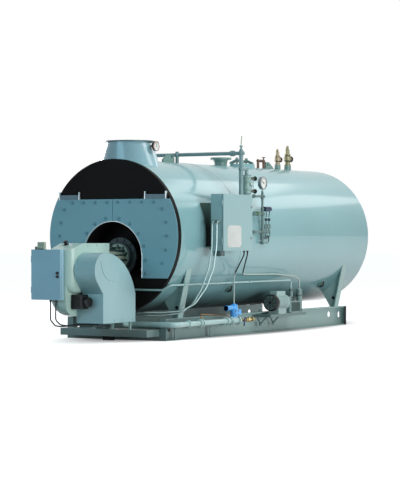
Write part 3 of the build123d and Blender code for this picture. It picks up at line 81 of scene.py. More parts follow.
soft_light("overhead_light", (3.8, 0.2, 8.0), (0.2, 0.2, 1.2), 3.0, 9.0, 380, (1.0, 0.99, 0.97))
soft_light("side_light", (11.0, -4.2, 1.3), (0.5, -1.0, 0.9), 7.0, 2.4, 640, (0.97, 1.0, 1.0))
soft_light("back_panel", (4.9, 14.5, 8.2), (0.6, 0.0, 1.7), 5.0, 2.0, 95, (1.0, 0.96, 0.96))
soft_light("crown_panel", (2.6, 14.5, 10.9), (0.6, -1.6, 1.7), 7.0, 2.6, 150, (1.0, 0.96, 0.96))
soft_light("left_light", (-10.5, 3.0, 3.6), (0.0, 0.2, 1.1), 6.0, 4.0, 620, (0.98, 1.0, 1.0))
soft_light("front_light", (-3.0, -12.0, 4.5), (0.0, -2.5, 1.0), 5.0, 4.0, 220, (0.42, 0.82, 1.0))


def add_node(net, kind, inputs=None, **settings):
    """Adds a node with its settings, and gives each input a value or the output of another node."""
    made = net.nodes.new(kind)
    for setting, value in settings.items():
        setattr(made, setting, value)
    for socket, value in (inputs or {}).items():
        if isinstance(value, bpy.types.NodeSocket):
            net.links.new(value, made.inputs[socket])
        else:
            made.inputs[socket].default_value = value
    return made


def maths(net, operation, *values):
    """The result of a Math node."""
    return add_node(net, "ShaderNodeMath", dict(enumerate(values)), operation=operation).outputs["Value"]


def backdrop_mix(net, rays, lit, seen):
    """What the camera, a gloss or a glass sees, and apart from it what lights the object."""
    through = maths(net, "MAXIMUM", rays.outputs["Is Glossy Ray"], rays.outputs["Is Transmission Ray"])
    sight = maths(net, "MAXIMUM", rays.outputs["Is Camera Ray"], through)
    return add_node(net, "ShaderNodeMixShader", {0: sight, 1: lit, 2: seen}).outputs["Shader"]


world = bpy.data.worlds.new("studio")
scene.world = world
world.use_nodes = True
sky = world.node_tree
sky.nodes.clear()
sky_light = add_node(sky, "ShaderNodeBackground", {"Color": (0.15, 0.20, 0.22, 1)}).outputs["Background"]
sky_white = add_node(sky, "ShaderNodeBackground", {"Color": (1, 1, 1, 1)}).outputs["Background"]
sky_mix = backdrop_mix(sky, add_node(sky, "ShaderNodeLightPath"), sky_light, sky_white)
add_node(sky, "ShaderNodeOutputWorld", {"Surface": sky_mix})

floor_mesh = bpy.data.meshes.new("floor")
floor_mesh.from_pydata([(-60, -60, 0), (60, -60, 0), (60, 90, 0), (-60, 90, 0)], [], [(0, 1, 2, 3)])
floor = bpy.data.objects.new("floor", floor_mesh)
scene.collection.objects.link(floor)
floor_paint = bpy.data.materials.new("pale_floor")
floor_paint.use_nodes = True
tree = floor_paint.node_tree
tree.nodes.clear()


def graded(value, near, far, low, high):
    """Runs from low to high while a value runs from near to far."""
    ends = {"Value": value, "From Min": near, "From Max": far, "To Min": low, "To Max": high}
    return add_node(tree, "ShaderNodeMapRange", ends).outputs["Result"]


shade_half_width, shade_half_length = 0.95, 3.1
floor_place = add_node(tree, "ShaderNodeTexCoord").outputs["Object"]
reach = {0: floor_place, 1: (1 / shade_half_width, 1 / shade_half_length, 0)}
floor_reach = add_node(tree, "ShaderNodeVectorMath", reach, operation="MULTIPLY").outputs["Vector"]
floor_far = add_node(tree, "ShaderNodeVectorMath", {0: floor_reach}, operation="LENGTH").outputs["Value"]
floor_rays = add_node(tree, "ShaderNodeLightPath")
# Painted shadow: under the skid the floor's glow and colour fall towards dark.
floor_shadow_fade = graded(floor_far, 0.7, 1.15, 0.02, 0.9)
# Painted reflection: beyond the skid the floor glows brighter to glossy rays only, for the shell's lower
# half.
floor_sheen = graded(floor_far, 0.8, 2.6, 0, 1.3)
floor_gloss = maths(tree, "MULTIPLY_ADD", floor_sheen, floor_rays.outputs["Is Glossy Ray"], 1)
floor_bright = maths(tree, "MULTIPLY", floor_shadow_fade, floor_gloss)
floor_glow = add_node(tree, "ShaderNodeEmission", {"Strength": floor_bright}).outputs["Emission"]
floor_shade = maths(tree, "MULTIPLY", floor_shadow_fade, 0.55)
floor_seen = add_node(tree, "ShaderNodeBsdfDiffuse", {"Color": floor_shade}).outputs["BSDF"]
floor_sum = add_node(tree, "ShaderNodeAddShader", {0: floor_seen, 1: floor_glow}).outputs["Shader"]
floor_lit = add_node(tree, "ShaderNodeBsdfDiffuse", {"Color": (0.16, 0.19, 0.2, 1)}).outputs["BSDF"]
floor_mix = backdrop_mix(tree, floor_rays, floor_lit, floor_sum)
add_node(tree, "ShaderNodeOutputMaterial", {"Surface": floor_mix})
floor_mesh.materials.append(floor_paint)


# Skid: two rolled-steel channels with plates across their ends, tied by cross members, and four plate
# legs welded up to the shell. It is brushed with grey-green enamel after welding, so the paint is a
# little uneven. It is darker towards the burner end, painted shade, and darker at its foot from dust
# and painted shade. Black pieces in the legs' holes and at the rails' ends are painted shade.
fore, aft = (0, -1, 0), (0, 1, 0)  # towards the burner, towards the rear door
up, down = (0, 0, 1), (0, 0, -1)
right = (1, 0, 0)  # the side with the cabinet


def linear(colour):
    """A scene colour from a picture's red, green and blue."""
    shares = [part / 255 for part in colour]
    return tuple(c / 12.92 if c <= 0.04045 else ((c + 0.055) / 1.055) ** 2.4 for c in shares) + (1,)


def enamel(name, colour, rough=0.5, coat=0, patch=9, drift=0.12, waves=0.001, shine=0.4):
    """Sprayed or brushed gloss enamel: slow drift of tone, fine orange peel and uneven gloss."""
    paint = bpy.data.materials.new(name)
    paint.use_nodes = True
    net = paint.node_tree
    shader = net.nodes["Principled BSDF"]
    place = add_node(net, "ShaderNodeTexCoord").outputs["Object"]

    def noise(scale, detail):
        values = {"Vector": place, "Scale": scale, "Detail": detail}
        return add_node(net, "ShaderNodeTexNoise", values).outputs["Fac"]

    clouds = noise(patch, 5)
    tone = add_node(net, "ShaderNodeValToRGB", {"Fac": clouds})
    for stop, position, factor in zip(tone.color_ramp.elements, (0.3, 0.7), (1 - drift, 1 + drift)):
        stop.position = position
        stop.color = tuple(min(1, c * factor) for c in linear(colour)[:3]) + (1,)
    ends = {"Value": clouds, "To Min": rough - 0.06, "To Max": rough + 0.08}
    gloss = add_node(net, "ShaderNodeMapRange", ends)
    swell = {"Strength": 0.25, "Distance": waves, "Height": noise(3.1, 1)}
    sheet = add_node(net, "ShaderNodeBump", swell)
    peel = {"Strength": 0.05, "Distance": 0.002, "Height": noise(140, 2), "Normal": sheet.outputs["Normal"]}
    skin = add_node(net, "ShaderNodeBump", peel)
    net.links.new(tone.outputs["Color"], shader.inputs["Base Color"])
    net.links.new(gloss.outputs["Result"], shader.inputs["Roughness"])
    net.links.new(skin.outputs["Normal"], shader.inputs["Normal"])
    shader.inputs["Specular IOR Level"].default_value = shine
    shader.inputs["Coat Weight"].default_value = coat
    shader.inputs["Coat Roughness"].default_value = 0.1
    return paint


def by_place(material, axis, clear, full, colour, most):
    """Blends another colour into a finish along an axis, from clear, where there is none, to full."""
    net = material.node_tree
    base = net.nodes["Principled BSDF"].inputs["Base Color"]
    under = base.links[0].from_socket
    place = add_node(net, "ShaderNodeTexCoord").outputs["Object"]
    split = add_node(net, "ShaderNodeSeparateXYZ", {"Vector": place}).outputs[axis]
    ends = {"Value": split, "From Min": clear, "From Max": full, "To Max": most}
    fade = add_node(net, "ShaderNodeMapRange", ends).outputs["Result"]
    blend = add_node(net, "ShaderNodeMixRGB", {"Fac": fade, "Color1": under, "Color2": linear(colour)})
    net.links.new(blend.outputs["Color"], base)


def paint_nodes(material, *names):
    """Gives CAD pieces their finish."""
    for name in names:
        for place in nodes[name].material_slots:
            place.material = material


def lathe(work, profile, place, way, sides=28):
    """Turns a profile of (radius, height) pairs about the line from place along way. A profile that
    doesn't end on that line is closed into a ring."""
    turn = Vector(way).to_track_quat("Z", "Y")
    rings = []
    for radius, height in profile:
        if radius == 0:
            rings.append([work.verts.new(Vector(place) + turn @ Vector((0, 0, height)))])
            continue
        ring = []
        for step in range(sides):
            angle = 2 * pi * (step + 0.5) / sides
            corner = Vector((radius * cos(angle), radius * sin(angle), height))
            ring.append(work.verts.new(Vector(place) + turn @ corner))
        rings.append(ring)
    if len(rings[0]) > 1:
        rings.append(rings[0])
    for first, second in zip(rings, rings[1:]):
        for step in range(sides):
            after = (step + 1) % sides
            corners = [first[step % len(first)], second[step % len(second)]]
            if len(second) > 1:
                corners.append(second[after])
            if len(first) > 1:
                corners.append(first[after])
            work.faces.new(corners)


def disc(radius, side, *crown):
    """The profile of a disc or boss: a plain side, then the points of its crown where it has one."""
    rim = [(0, 0), (radius, 0), (radius, side), *crown]
    return rim + [(0, rim[-1][1])]


def band(inner, outer, height, edge=0.002):
    """The profile of a band round a pipe or case, with bevelled edges."""
    return [(inner, 0), (outer, edge), (outer, height - edge), (inner, height)]


def slab(work, low, high, edge=0.002):
    """A plate or block between two corners, with rounded edges."""
    low, high = Vector(low), Vector(high)
    size = Matrix.Diagonal((*(high - low), 1))
    made = bmesh.ops.create_cube(work, size=1, matrix=Matrix.Translation((low + high) / 2) @ size)
    edges = {line for corner in made["verts"] for line in corner.link_edges}
    bmesh.ops.bevel(work, geom=list(edges), offset=edge, segments=2, profile=0.5, affect="EDGES")


def fitted(work, name, material, body="boiler"):
    """Makes a finished piece of the work, on its body and with its finish."""
    bmesh.ops.recalc_face_normals(work, faces=work.faces)
    mesh = bpy.data.meshes.new(name)
    work.to_mesh(mesh)
    work.free()
    mesh.polygons.foreach_set("use_smooth", [True] * len(mesh.polygons))
    mesh.set_sharp_from_angle(angle=radians(35))
    mesh.materials.append(material)
    piece = bpy.data.objects.new(name, mesh)
    scene.collection.objects.link(piece)
    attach(piece, body)
    return piece


skid_enamel = enamel("skid_enamel", (152, 180, 177), rough=0.42, coat=0.05, patch=2.2, drift=0.1, waves=0.004)
# Dust and painted shade: the skid darkens towards its foot.
by_place(skid_enamel, "Z", 0.17, 0.0, (96, 112, 110), 0.5)
# Painted shade: the skid darkens towards the burner end.
by_place(skid_enamel, "Y", -0.2, -2.3, (66, 88, 90), 0.62)
paint_nodes(
    skid_enamel, "skid_rail_left", "skid_rail_right", "skid_cross_members", "burner_platform",
    "fuel_pipe_supports")
leg_enamel = enamel("leg_enamel", (152, 182, 179), rough=0.42, coat=0.05, patch=2.2, drift=0.1, waves=0.004)
paint_nodes(leg_enamel, "front_legs", "rear_legs", "burner_posts")
black_rubber_and_shade = enamel("black_rubber_and_shade", (22, 23, 24), rough=0.6, patch=30, drift=0.2, waves=0.0005, shine=0.15)
paint_nodes(black_rubber_and_shade, "platform_foot")

# Painted shade: black discs fill the legs' holes and black plates sit at the rails' ends, where they are
# dark.
work = bmesh.new()
for side in (1, -1):
    for web in (-2.124, 1.876):
        plug = disc(0.0212, 0.012, (0.0175, 0.0155), (0.006, 0.0145))
        lathe(work, plug, (side * 0.65, web + 0.012, 0.373), fore)
    slab(work, (side * 0.692 - 0.003, 2.128, 0.004), (side * 0.692 + 0.003, 2.182, 0.251), 0.0015)
    slab(work, (side * 0.691 - 0.003, -2.372, 0.104), (side * 0.691 + 0.003, -2.332, 0.144), 0.0015)
fitted(work, "skid_shade_plugs", black_rubber_and_shade)

# Shell: lagging under a jacket of rolled sheet in two lengths that butt at a seam, with flat ends.
# The jacket is sprayed with pale blue-green gloss enamel and shows slow waves of the thin sheet. A
# fine bead of dark sealer fills the seam, and painted shade darkens the underside.
shell_radius = 0.9
shell_axis = 1.205
jacket_enamel = enamel(
    "jacket_enamel", (136, 179, 183), rough=0.3, coat=0.4, patch=0.9, drift=0.04, waves=0.012, shine=0.12)
# Painted shade: the jacket darkens towards its underside.
by_place(jacket_enamel, "Z", 0.56, 0.35, (46, 58, 56), 0.85)
paint_nodes(jacket_enamel, "shell_front_jacket", "shell_rear_jacket", "rear_plate", "rear_door")
seam_sealer = enamel("seam_sealer", (104, 132, 136), patch=8, drift=0.15)
work = bmesh.new()
bead = shell_radius + 0.0016
seam = [(shell_radius, -0.004), (bead, -0.0025), (bead, 0.0025), (shell_radius, 0.004)]
lathe(work, seam, (0, -1.03, shell_axis), aft, 180)
fitted(work, "jacket_seam", seam_sealer)

# Front plate and half doors: flat steel plates that meet at the middle and are cut by one arch, held
# to the black front plate by painted hexagon bolts, with a bright strip round the arch. Each door hangs
# from a steel bar between two lugs, so that it can be swung away to clean the tubes.
door_face = -2.492
arch_radius = 0.411
arch_level = 0.967
black_enamel = enamel(
    "black_enamel", (28, 26, 26), rough=0.45, patch=2.2, drift=0.15, waves=0.004, shine=0.03)
paint_nodes(black_enamel, "front_plate")
door_enamel = enamel(
    "door_enamel", (134, 180, 192), rough=0.38, coat=0.08, patch=1.4, drift=0.05, waves=0.006, shine=0.3)
paint_nodes(door_enamel, "door_left", "door_right")
hanger_enamel = enamel("hanger_enamel", (98, 122, 134), rough=0.36, coat=0.1, patch=6)
paint_nodes(hanger_enamel, "door_hangers")


def instance_tree(name, sizes, build):
    """A node tree that puts one shape on every point, turned to its outward and along vectors."""
    tree = bpy.data.node_groups.new(name, "GeometryNodeTree")
    ports = tree.interface
    ports.new_socket("Geometry", in_out="INPUT", socket_type="NodeSocketGeometry")
    for size in sizes:
        ports.new_socket(size, in_out="INPUT", socket_type="NodeSocketFloat")
    ports.new_socket("Finish", in_out="INPUT", socket_type="NodeSocketMaterial")
    ports.new_socket("Geometry", in_out="OUTPUT", socket_type="NodeSocketGeometry")
    source = add_node(tree, "NodeGroupInput").outputs
    turn = None
    for vector, settings in (("outward", {"axis": "Z"}), ("along", {"axis": "X", "pivot_axis": "Z"})):
        read = add_node(tree, "GeometryNodeInputNamedAttribute", data_type="FLOAT_VECTOR")
        read.inputs["Name"].default_value = vector
        aim = {"Vector": read.outputs["Attribute"]}
        if turn is not None:
            aim["Rotation"] = turn
        turn = add_node(tree, "FunctionNodeAlignRotationToVector", aim, **settings).outputs["Rotation"]
    spots = {"Points": source["Geometry"], "Instance": build(tree, source), "Rotation": turn}
    place = add_node(tree, "GeometryNodeInstanceOnPoints", spots).outputs["Instances"]
    real = add_node(tree, "GeometryNodeRealizeInstances", {"Geometry": place}).outputs["Geometry"]
    coat = add_node(tree, "GeometryNodeSetMaterial", {"Geometry": real, "Material": source["Finish"]})
    add_node(tree, "NodeGroupOutput", {"Geometry": coat.outputs["Geometry"]})
    return tree


def repeated(name, tree, seats, values, body="boiler"):
    """One mesh of a tree's shape at every seat: a place, the way it points and the way it lies."""
    seed = bpy.data.meshes.new(name + "_seats")
    seed.from_pydata([seat[0] for seat in seats], [], [])
    for number, vector in ((1, "outward"), (2, "along")):
        ways = seed.attributes.new(vector, "FLOAT_VECTOR", "POINT")
        for datum, seat in zip(ways.data, seats):
            datum.vector = seat[number]
    carrier = bpy.data.objects.new(name, seed)
    scene.collection.objects.link(carrier)
    modifier = carrier.modifiers.new("repeat", "NODES")
    modifier.node_group = tree
    for item in tree.interface.items_tree:
        if item.in_out == "INPUT" and item.name in values:
            modifier[item.identifier] = values[item.name]
    bpy.context.view_layer.update()
    made = bpy.data.meshes.new_from_object(carrier.evaluated_get(bpy.context.evaluated_depsgraph_get()))
    carrier.modifiers.remove(modifier)
    carrier.data = made
    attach(carrier, body)


def bolt_shape(tree, source):
    """A hexagon head with a domed top on a round washer."""
    across, height = source["Across"], source["Height"]
    join = add_node(tree, "GeometryNodeJoinGeometry")
    for sides, radius, depth, lift in ((6, 0.56, 0.62, 0.6), (12, 0.36, 0.5, 0.75), (16, 0.8, 0.3, 0.15)):
        size = {"Vertices": sides}
        size["Radius"] = maths(tree, "MULTIPLY", across, radius)
        size["Depth"] = maths(tree, "MULTIPLY", height, depth)
        turned = add_node(tree, "GeometryNodeMeshCylinder", size).outputs["Mesh"]
        rise = add_node(tree, "ShaderNodeCombineXYZ", {"Z": maths(tree, "MULTIPLY", height, lift)})
        move = {"Geometry": turned, "Translation": rise.outputs["Vector"]}
        raised = add_node(tree, "GeometryNodeTransform", move)
        tree.links.new(raised.outputs["Geometry"], join.inputs["Geometry"])
    return join.outputs["Geometry"]


bolt_tree = instance_tree("bolt_heads", ("Across", "Height"), bolt_shape)


def bolts(name, seats, across, height, material, body="boiler"):
    """Hexagon bolts at places, each pointing its own way."""
    placed = [(place, way, (way[1], way[2], way[0])) for place, way in seats]
    values = {"Across": across, "Height": height, "Finish": material}
    repeated(name, bolt_tree, placed, values, body)


def bolt_circle(centre, way, radius, count):
    """Seats for bolts on a circle square to way."""
    turn = Vector(way).to_track_quat("Z", "Y")
    seats = []
    for step in range(count):
        angle = 2 * pi * (step + 0.5) / count
        seats.append((Vector(centre) + turn @ Vector((radius * cos(angle), radius * sin(angle), 0)), way))
    return seats


door_places = [(x, 1.597) for x in (0.075, 0.243, 0.405, 0.566)]
for angle in (24.5, 12.2, 0, -12.2, -24.5):
    door_places.append((0.75 * cos(radians(angle)), shell_axis + 0.75 * sin(radians(angle))))
for angle in (78, 57.3, 36.6, 16):
    door_places.append((0.452 * cos(radians(angle)), arch_level + 0.452 * sin(radians(angle))))
door_places += [(0.462, arch_level - drop) for drop in (0.04, 0.19)]
door_seats = []
for side in (1, -1):
    for x, z in door_places:
        door_seats.append(((side * x, door_face, z), fore))
# Painted shade: the bolts are a darker copy of the door paint.
bolt_shade_enamel = enamel("bolt_shade_enamel", (112, 152, 164), rough=0.45, patch=20, waves=0.0005, shine=0.25)
bolts("door_bolts", door_seats, 0.027, 0.014, bolt_shade_enamel)


def tube(work, points, radius, smooth=True):
    """A round tube along points: with smooth bends, or straight runs."""
    line = bpy.data.curves.new("line", "CURVE")
    line.dimensions = "3D"
    line.bevel_depth = radius
    line.bevel_resolution = 2
    line.use_fill_caps = True
    line.resolution_u = 6
    spline = line.splines.new("NURBS" if smooth else "POLY")
    spline.points.add(len(points) - 1)
    for point, place in zip(spline.points, points):
        point.co = (*place, 1)
    if smooth:
        spline.order_u = 3
        spline.use_endpoint_u = True
    carrier = bpy.data.objects.new("line", line)
    scene.collection.objects.link(carrier)
    bpy.context.view_layer.update()
    made = bpy.data.meshes.new_from_object(carrier.evaluated_get(bpy.context.evaluated_depsgraph_get()))
    bpy.data.objects.remove(carrier)
    work.from_mesh(made)
    bpy.data.meshes.remove(made)


def metal(name, colour, rough):
    """Bare metal with a fine uneven surface."""
    finish = enamel(name, colour, rough=rough, patch=60, drift=0.15, waves=0.0005, shine=0.5)
    finish.node_tree.nodes["Principled BSDF"].inputs["Metallic"].default_value = 1
    return finish


strip_metal = metal("strip_metal", (176, 186, 190), 0.4)
work = bmesh.new()
strip_y = -2.4975
arch_foot = 0.728
arch = [(-arch_radius, strip_y, arch_foot), (-arch_radius, strip_y, arch_level)]
for step in range(1, 48):
    angle = radians(180 - step * 180 / 48)
    arch.append((arch_radius * cos(angle), strip_y, arch_level + arch_radius * sin(angle)))
arch += [(arch_radius, strip_y, arch_level), (arch_radius, strip_y, arch_foot)]
tube(work, arch, 0.0045, smooth=False)
for side in (1, -1):
    for x in (0.458, 0.742):
        slab(work, (side * x - 0.005, -2.516, 1.632), (side * x + 0.005, -2.484, 1.722), 0.0015)
fitted(work, "door_trim", strip_metal)

# Rear door: a round plate bolted to the rear of the shell, with a sight port at its middle and two
# bent-rod handles to lift it by. It is painted with the jacket.
rear_seats = bolt_circle((0, 2.476, shell_axis), aft, 0.765, 24)
bolts("rear_door_bolts", rear_seats, 0.04, 0.02, jacket_enamel)
work = bmesh.new()
port = [(0.036, 0), (0.062, 0), (0.062, 0.018), (0.055, 0.024), (0.036, 0.024), (0.036, 0.012)]
lathe(work, port, (0, 2.51, shell_axis), aft, 36)
for side in (1, -1):
    x = side * 0.42
    handle = ((2.47, 1.33), (2.53, 1.33), (2.53, shell_axis), (2.53, 1.08), (2.47, 1.08))
    tube(work, [(x, y, z) for y, z in handle], 0.011)
    for z in (1.08, 1.33):
        lathe(work, disc(0.026, 0.006, (0.016, 0.012)), (x, 2.474, z), aft)
fitted(work, "rear_door_fittings", jacket_enamel)

# Stack outlet: a rolled cone welded to the shell, with a thin flat flange that the chimney bolts to.
# A dial thermometer stands out of its right side: a black case with a printed white face and a
# brownish metal rim.
stack_enamel = enamel(
    "stack_enamel", (138, 178, 188), rough=0.26, coat=0.5, patch=1.5, drift=0.04, waves=0.006, shine=0.5)
paint_nodes(stack_enamel, "stack_transition")
# Painted shade: the flange is a darker copy of the stack's paint, for its shaded rim and underside.
flange_shade_enamel = enamel("flange_shade_enamel", (74, 104, 112), rough=0.4, coat=0.1, patch=6)
paint_nodes(flange_shade_enamel, "stack_flange")
black_plastic = enamel(
    "black_plastic", (24, 25, 26), rough=0.45, patch=20, drift=0.2, waves=0.0005, shine=0.25)
paint_nodes(black_plastic, "stack_thermometer")
dial_card = enamel("dial_card", (236, 236, 230), coat=0.3, patch=30, drift=0.02, waves=0.0002)
dial_ink = enamel("dial_ink", (24, 24, 26), patch=60, drift=0.2, waves=0.0002, shine=0.2)


def rib_shape(tree, source):
    """A bar as long as Length, standing Height out and Thickness wide."""
    sizes = {"X": source["Length"], "Y": source["Thickness"], "Z": source["Height"]}
    size = add_node(tree, "ShaderNodeCombineXYZ", sizes).outputs["Vector"]
    return add_node(tree, "GeometryNodeMeshCube", {"Size": size}).outputs["Mesh"]


rib_tree = instance_tree("ribs", ("Length", "Height", "Thickness"), rib_shape)


def ribs(name, seats, length, height, thickness, material):
    """Bars that lie along one way and stand out another."""
    values = {"Length": length, "Height": height, "Thickness": thickness, "Finish": material}
    repeated(name, rib_tree, seats, values)


def dial(name, centre, radius, needle):
    """A printed face towards the right with a scale of ticks, and a needle on a boss."""
    centre = Vector(centre)
    work = bmesh.new()
    lathe(work, [(0, 0), (radius, 0), (radius, 0.0015), (0, 0.002)], centre, right, 48)
    fitted(work, name + "_card", dial_card)
    seats = []
    for step in range(31):
        angle = radians(225 - step * 9)
        ray = Vector((0, cos(angle), sin(angle)))
        reach = 0.82 if step % 5 else 0.77
        seats.append((centre + Vector((0.002, 0, 0)) + ray * radius * reach, right, ray))
    ribs(name + "_scale", seats, radius * 0.13, 0.0012, radius * 0.028, dial_ink)
    work = bmesh.new()
    ray = Vector((0, cos(radians(needle)), sin(radians(needle))))
    lift = centre + Vector((0.0045, 0, 0))
    tube(work, [lift - ray * radius * 0.2, lift + ray * radius * 0.7], radius * 0.03, smooth=False)
    boss = [(0, 0), (radius * 0.1, 0), (radius * 0.1, 0.005), (0, 0.006)]
    lathe(work, boss, centre + Vector((0.001, 0, 0)), right)
    fitted(work, name + "_needle", dial_ink)


thermometer_middle = (-2.125, 2.258)
work = bmesh.new()
case = [(0, 0), (0.05, 0), (0.057, 0.006), (0.0575, 0.03), (0, 0.03)]
lathe(work, case, (0.342, *thermometer_middle), right, 48)
fitted(work, "thermometer_case", black_plastic)
dial("thermometer", (0.3722, *thermometer_middle), 0.053, 100)
rim_metal = metal("rim_metal", (132, 104, 98), 0.35)
work = bmesh.new()
rim = [(0.0525, 0), (0.0595, 0), (0.0595, 0.0105), (0.056, 0.0125), (0.0525, 0.0105)]
lathe(work, rim, (0.3675, *thermometer_middle), right, 48)
fitted(work, "thermometer_rim", rim_metal)

# Fittings on the crown: a flanged steam nozzle, an oval manhole whose cover is drawn up by two bolts
# through forged yokes, plate lugs for lifting, and steel sockets for the valves. They are brushed with
# a darker enamel than the jacket.
crown_enamel = enamel("crown_enamel", (104, 136, 130), rough=0.4, coat=0.1, patch=5)
paint_nodes(crown_enamel, "steam_nozzle", "safety_valve_nozzles", "manhole_cover", "lifting_lugs")
paint_nodes(jacket_enamel, "manhole_ring")
work = bmesh.new()
for y in (0.403, 0.647):
    lathe(work, disc(0.021, 0.02, (0.017, 0.024)), (0, y, 2.199), up, 6)
    lathe(work, disc(0.03, 0.004), (0, y, 2.196), up)
fitted(work, "manhole_nuts", crown_enamel)

# Vent and safety valves: cast bronze bodies screwed into the sockets, each of its own tone. Each safety
# valve has a capped spring bonnet with a lifting lever, and a black lip and disc fill its outlet as
# painted shade of its dark inside. The vent has a small handwheel.
vent_bronze = metal("vent_bronze", (92, 76, 68), 0.5)
paint_nodes(vent_bronze, "vent_fitting")
small_bronze = metal("small_bronze", (140, 130, 112), 0.5)
paint_nodes(small_bronze, "safety_valve_small")
olive_bronze = metal("olive_bronze", (122, 120, 96), 0.5)
paint_nodes(olive_bronze, "safety_valve_large")
# Painted shade: a black lip and disc fill each outlet, standing for its dark inside.
work = bmesh.new()
for y, z, scale in ((1.576, 2.238, 0.86), (1.871, 2.255, 1)):
    lip = ((0.025, 0.004), (0.0405, 0), (0.0425, 0.003), (0.0425, 0.022), (0.036, 0.026), (0.025, 0.024))
    lathe(work, [(radius * scale, height) for radius, height in lip], (0, y - 0.022, z), aft)
    lathe(work, disc(0.024 * scale, 0.004), (0, y - 0.006, z), aft)
fitted(work, "outlet_shade_discs", black_rubber_and_shade)
work = bmesh.new()
for y, top, scale in ((1.50, 2.382, 0.86), (1.783, 2.434, 1)):
    pivot = top - 0.035 * scale
    slab(work, (-0.012, y - 0.024 * scale, pivot - 0.012), (0.012, y - 0.010 * scale, pivot + 0.014), 0.002)
    lever = ((0.014, 0.02, 0), (0.016, 0.045, 0.03), (0.02, 0.05, 0.09))
    tube(work, [(x, y - ahead * scale, pivot - drop) for x, ahead, drop in lever], 0.0045)
    lathe(work, disc(0.02 * scale, 0.012), (0, y, pivot - 0.05 * scale), up, 6)
fitted(work, "lifting_levers", olive_bronze)
work = bmesh.new()
rim = [(0.016, 0), (0.0245, 0.001), (0.0255, 0.005), (0.0245, 0.009), (0.016, 0.010)]
lathe(work, rim, (0, 1.112, 2.247), up)
hub = Vector((0, 1.112, 2.252))
for angle in (0, 60, 120):
    spoke = Vector((cos(radians(angle)), sin(radians(angle)), 0)) * 0.019
    tube(work, [hub - spoke, hub + spoke], 0.003, smooth=False)
fitted(work, "vent_wheel", vent_bronze)

# Steam header and water column: screwed pipe with unions and tees over the shell, down to a cast float
# chamber whose flanged top is bolted on. A thin vent line with a needle valve rises from the corner.
riser = (0.93, -1.108)
chamber = (0.93, -0.974)
# Painted shade: the header's pipe is painted darker than the jacket.
pipe_enamel = enamel("pipe_enamel", (120, 148, 150), rough=0.42, coat=0.08, patch=5)
paint_nodes(pipe_enamel, "steam_header")
chamber_enamel = enamel("chamber_enamel", (138, 168, 164), rough=0.4, coat=0.1, patch=6)
paint_nodes(chamber_enamel, "water_column")
work = bmesh.new()
for x in (0.786, 0.826):
    lathe(work, disc(0.034, 0.014), (x, -1.108, 2.201), right, 8)
for z in (1.66, 1.60, 2.04, 2.1):
    union = [(0, 0), (0.033, 0), (0.035, 0.004), (0.035, 0.01), (0.033, 0.014), (0, 0.014)]
    lathe(work, union, (*riser, z), up)
needle_valve = [(0, 0), (0.018, 0), (0.018, 0.016), (0.011, 0.02), (0.011, 0.034), (0.022, 0.04)]
needle_valve += [(0.022, 0.054), (0, 0.058)]
lathe(work, needle_valve, (*riser, 2.238), up)
fitted(work, "header_fittings", pipe_enamel)
work = bmesh.new()
tube(work, [(*riser, 2.29), (0.93, -1.106, 2.34), (0.93, -1.09, 2.405)], 0.006)
beige_plastic = enamel("beige_plastic", (172, 180, 160), drift=0.06, waves=0.0005)
fitted(work, "vent_line", beige_plastic)
column_low, column_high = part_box("water_column")
column_seats = bolt_circle((*chamber, column_high[2]), up, 0.046, 8)
column_seats += bolt_circle((*chamber, column_low[2]), down, 0.046, 8)
bolts("column_bolts", column_seats, 0.016, 0.01, pipe_enamel)
work = bmesh.new()
belly = [(0.0525, 0), (0.058, 0.006), (0.0615, 0.03), (0.058, 0.054), (0.0525, 0.06)]
lathe(work, belly, (*chamber, 1.75), up, 40)
lathe(work, belly, (*chamber, 1.845), up, 40)
lathe(work, disc(0.018, 0.012), (0.982, -0.974, 1.828), right, 6)
fitted(work, "column_bands", chamber_enamel)

# Gauge glass: a clear tube between two dull brass cocks on the column, each with a black handwheel. It
# is half full of water, which shows as a slightly darker length, and two thin rods guard it.
turned_brass = metal("turned_brass", (156, 142, 100), 0.38)
dull_brass = metal("dull_brass", (74, 80, 72), 0.45)
paint_nodes(dull_brass, "gauge_cocks")
clear_glass = enamel(
    "clear_glass", (236, 244, 242), rough=0.12, coat=0.3, patch=30, drift=0.03, waves=0.0002, shine=0.5)
by_place(clear_glass, "Z", 1.828, 1.826, (196, 216, 214), 1)
clear_glass.node_tree.nodes["Principled BSDF"].inputs["Transmission Weight"].default_value = 0.4
paint_nodes(clear_glass, "gauge_glass")
work = bmesh.new()
for z in (1.75, 1.905):
    rim = [(0.019, 0), (0.0272, 0.001), (0.0285, 0.0065), (0.0272, 0.012), (0.019, 0.013)]
    lathe(work, rim, (0.93, -0.7735, z), aft, 30)
    lathe(work, [(0, 0), (0.009, 0), (0.009, 0.014), (0, 0.016)], (0.93, -0.7735, z), aft)
    for angle in (0, 60, 120):
        spoke = Vector((cos(radians(angle)), 0, sin(radians(angle)))) * 0.021
        hub = Vector((0.93, -0.764, z))
        tube(work, [hub - spoke, hub + spoke], 0.003, smooth=False)
fitted(work, "cock_wheels", black_plastic)
dark_guard = metal("dark_guard", (70, 80, 80), 0.4)
work = bmesh.new()
for x, y in ((0.946, -0.838), (0.946, -0.866)):
    tube(work, [(x, y, 1.745), (x, y, 1.91)], 0.0025, smooth=False)
fitted(work, "glass_guards", dark_guard)

# Pressure gauge: a pressed steel case screwed on a stem at the top of the manifold. It has a white dial
# with a printed scale, a black needle and a rolled rim.
gauge_middle = (-0.592, 1.856)
gauge_steel = metal("gauge_steel", (120, 128, 132), 0.4)
paint_nodes(gauge_steel, "pressure_gauge")
dial("gauge", (0.950, *gauge_middle), 0.068, 148)
work = bmesh.new()
rim = [(0.0665, 0), (0.0805, 0), (0.0805, 0.012), (0.076, 0.0165), (0.0665, 0.0125)]
lathe(work, rim, (0.945, *gauge_middle), right, 56)
fitted(work, "gauge_rim", gauge_steel)

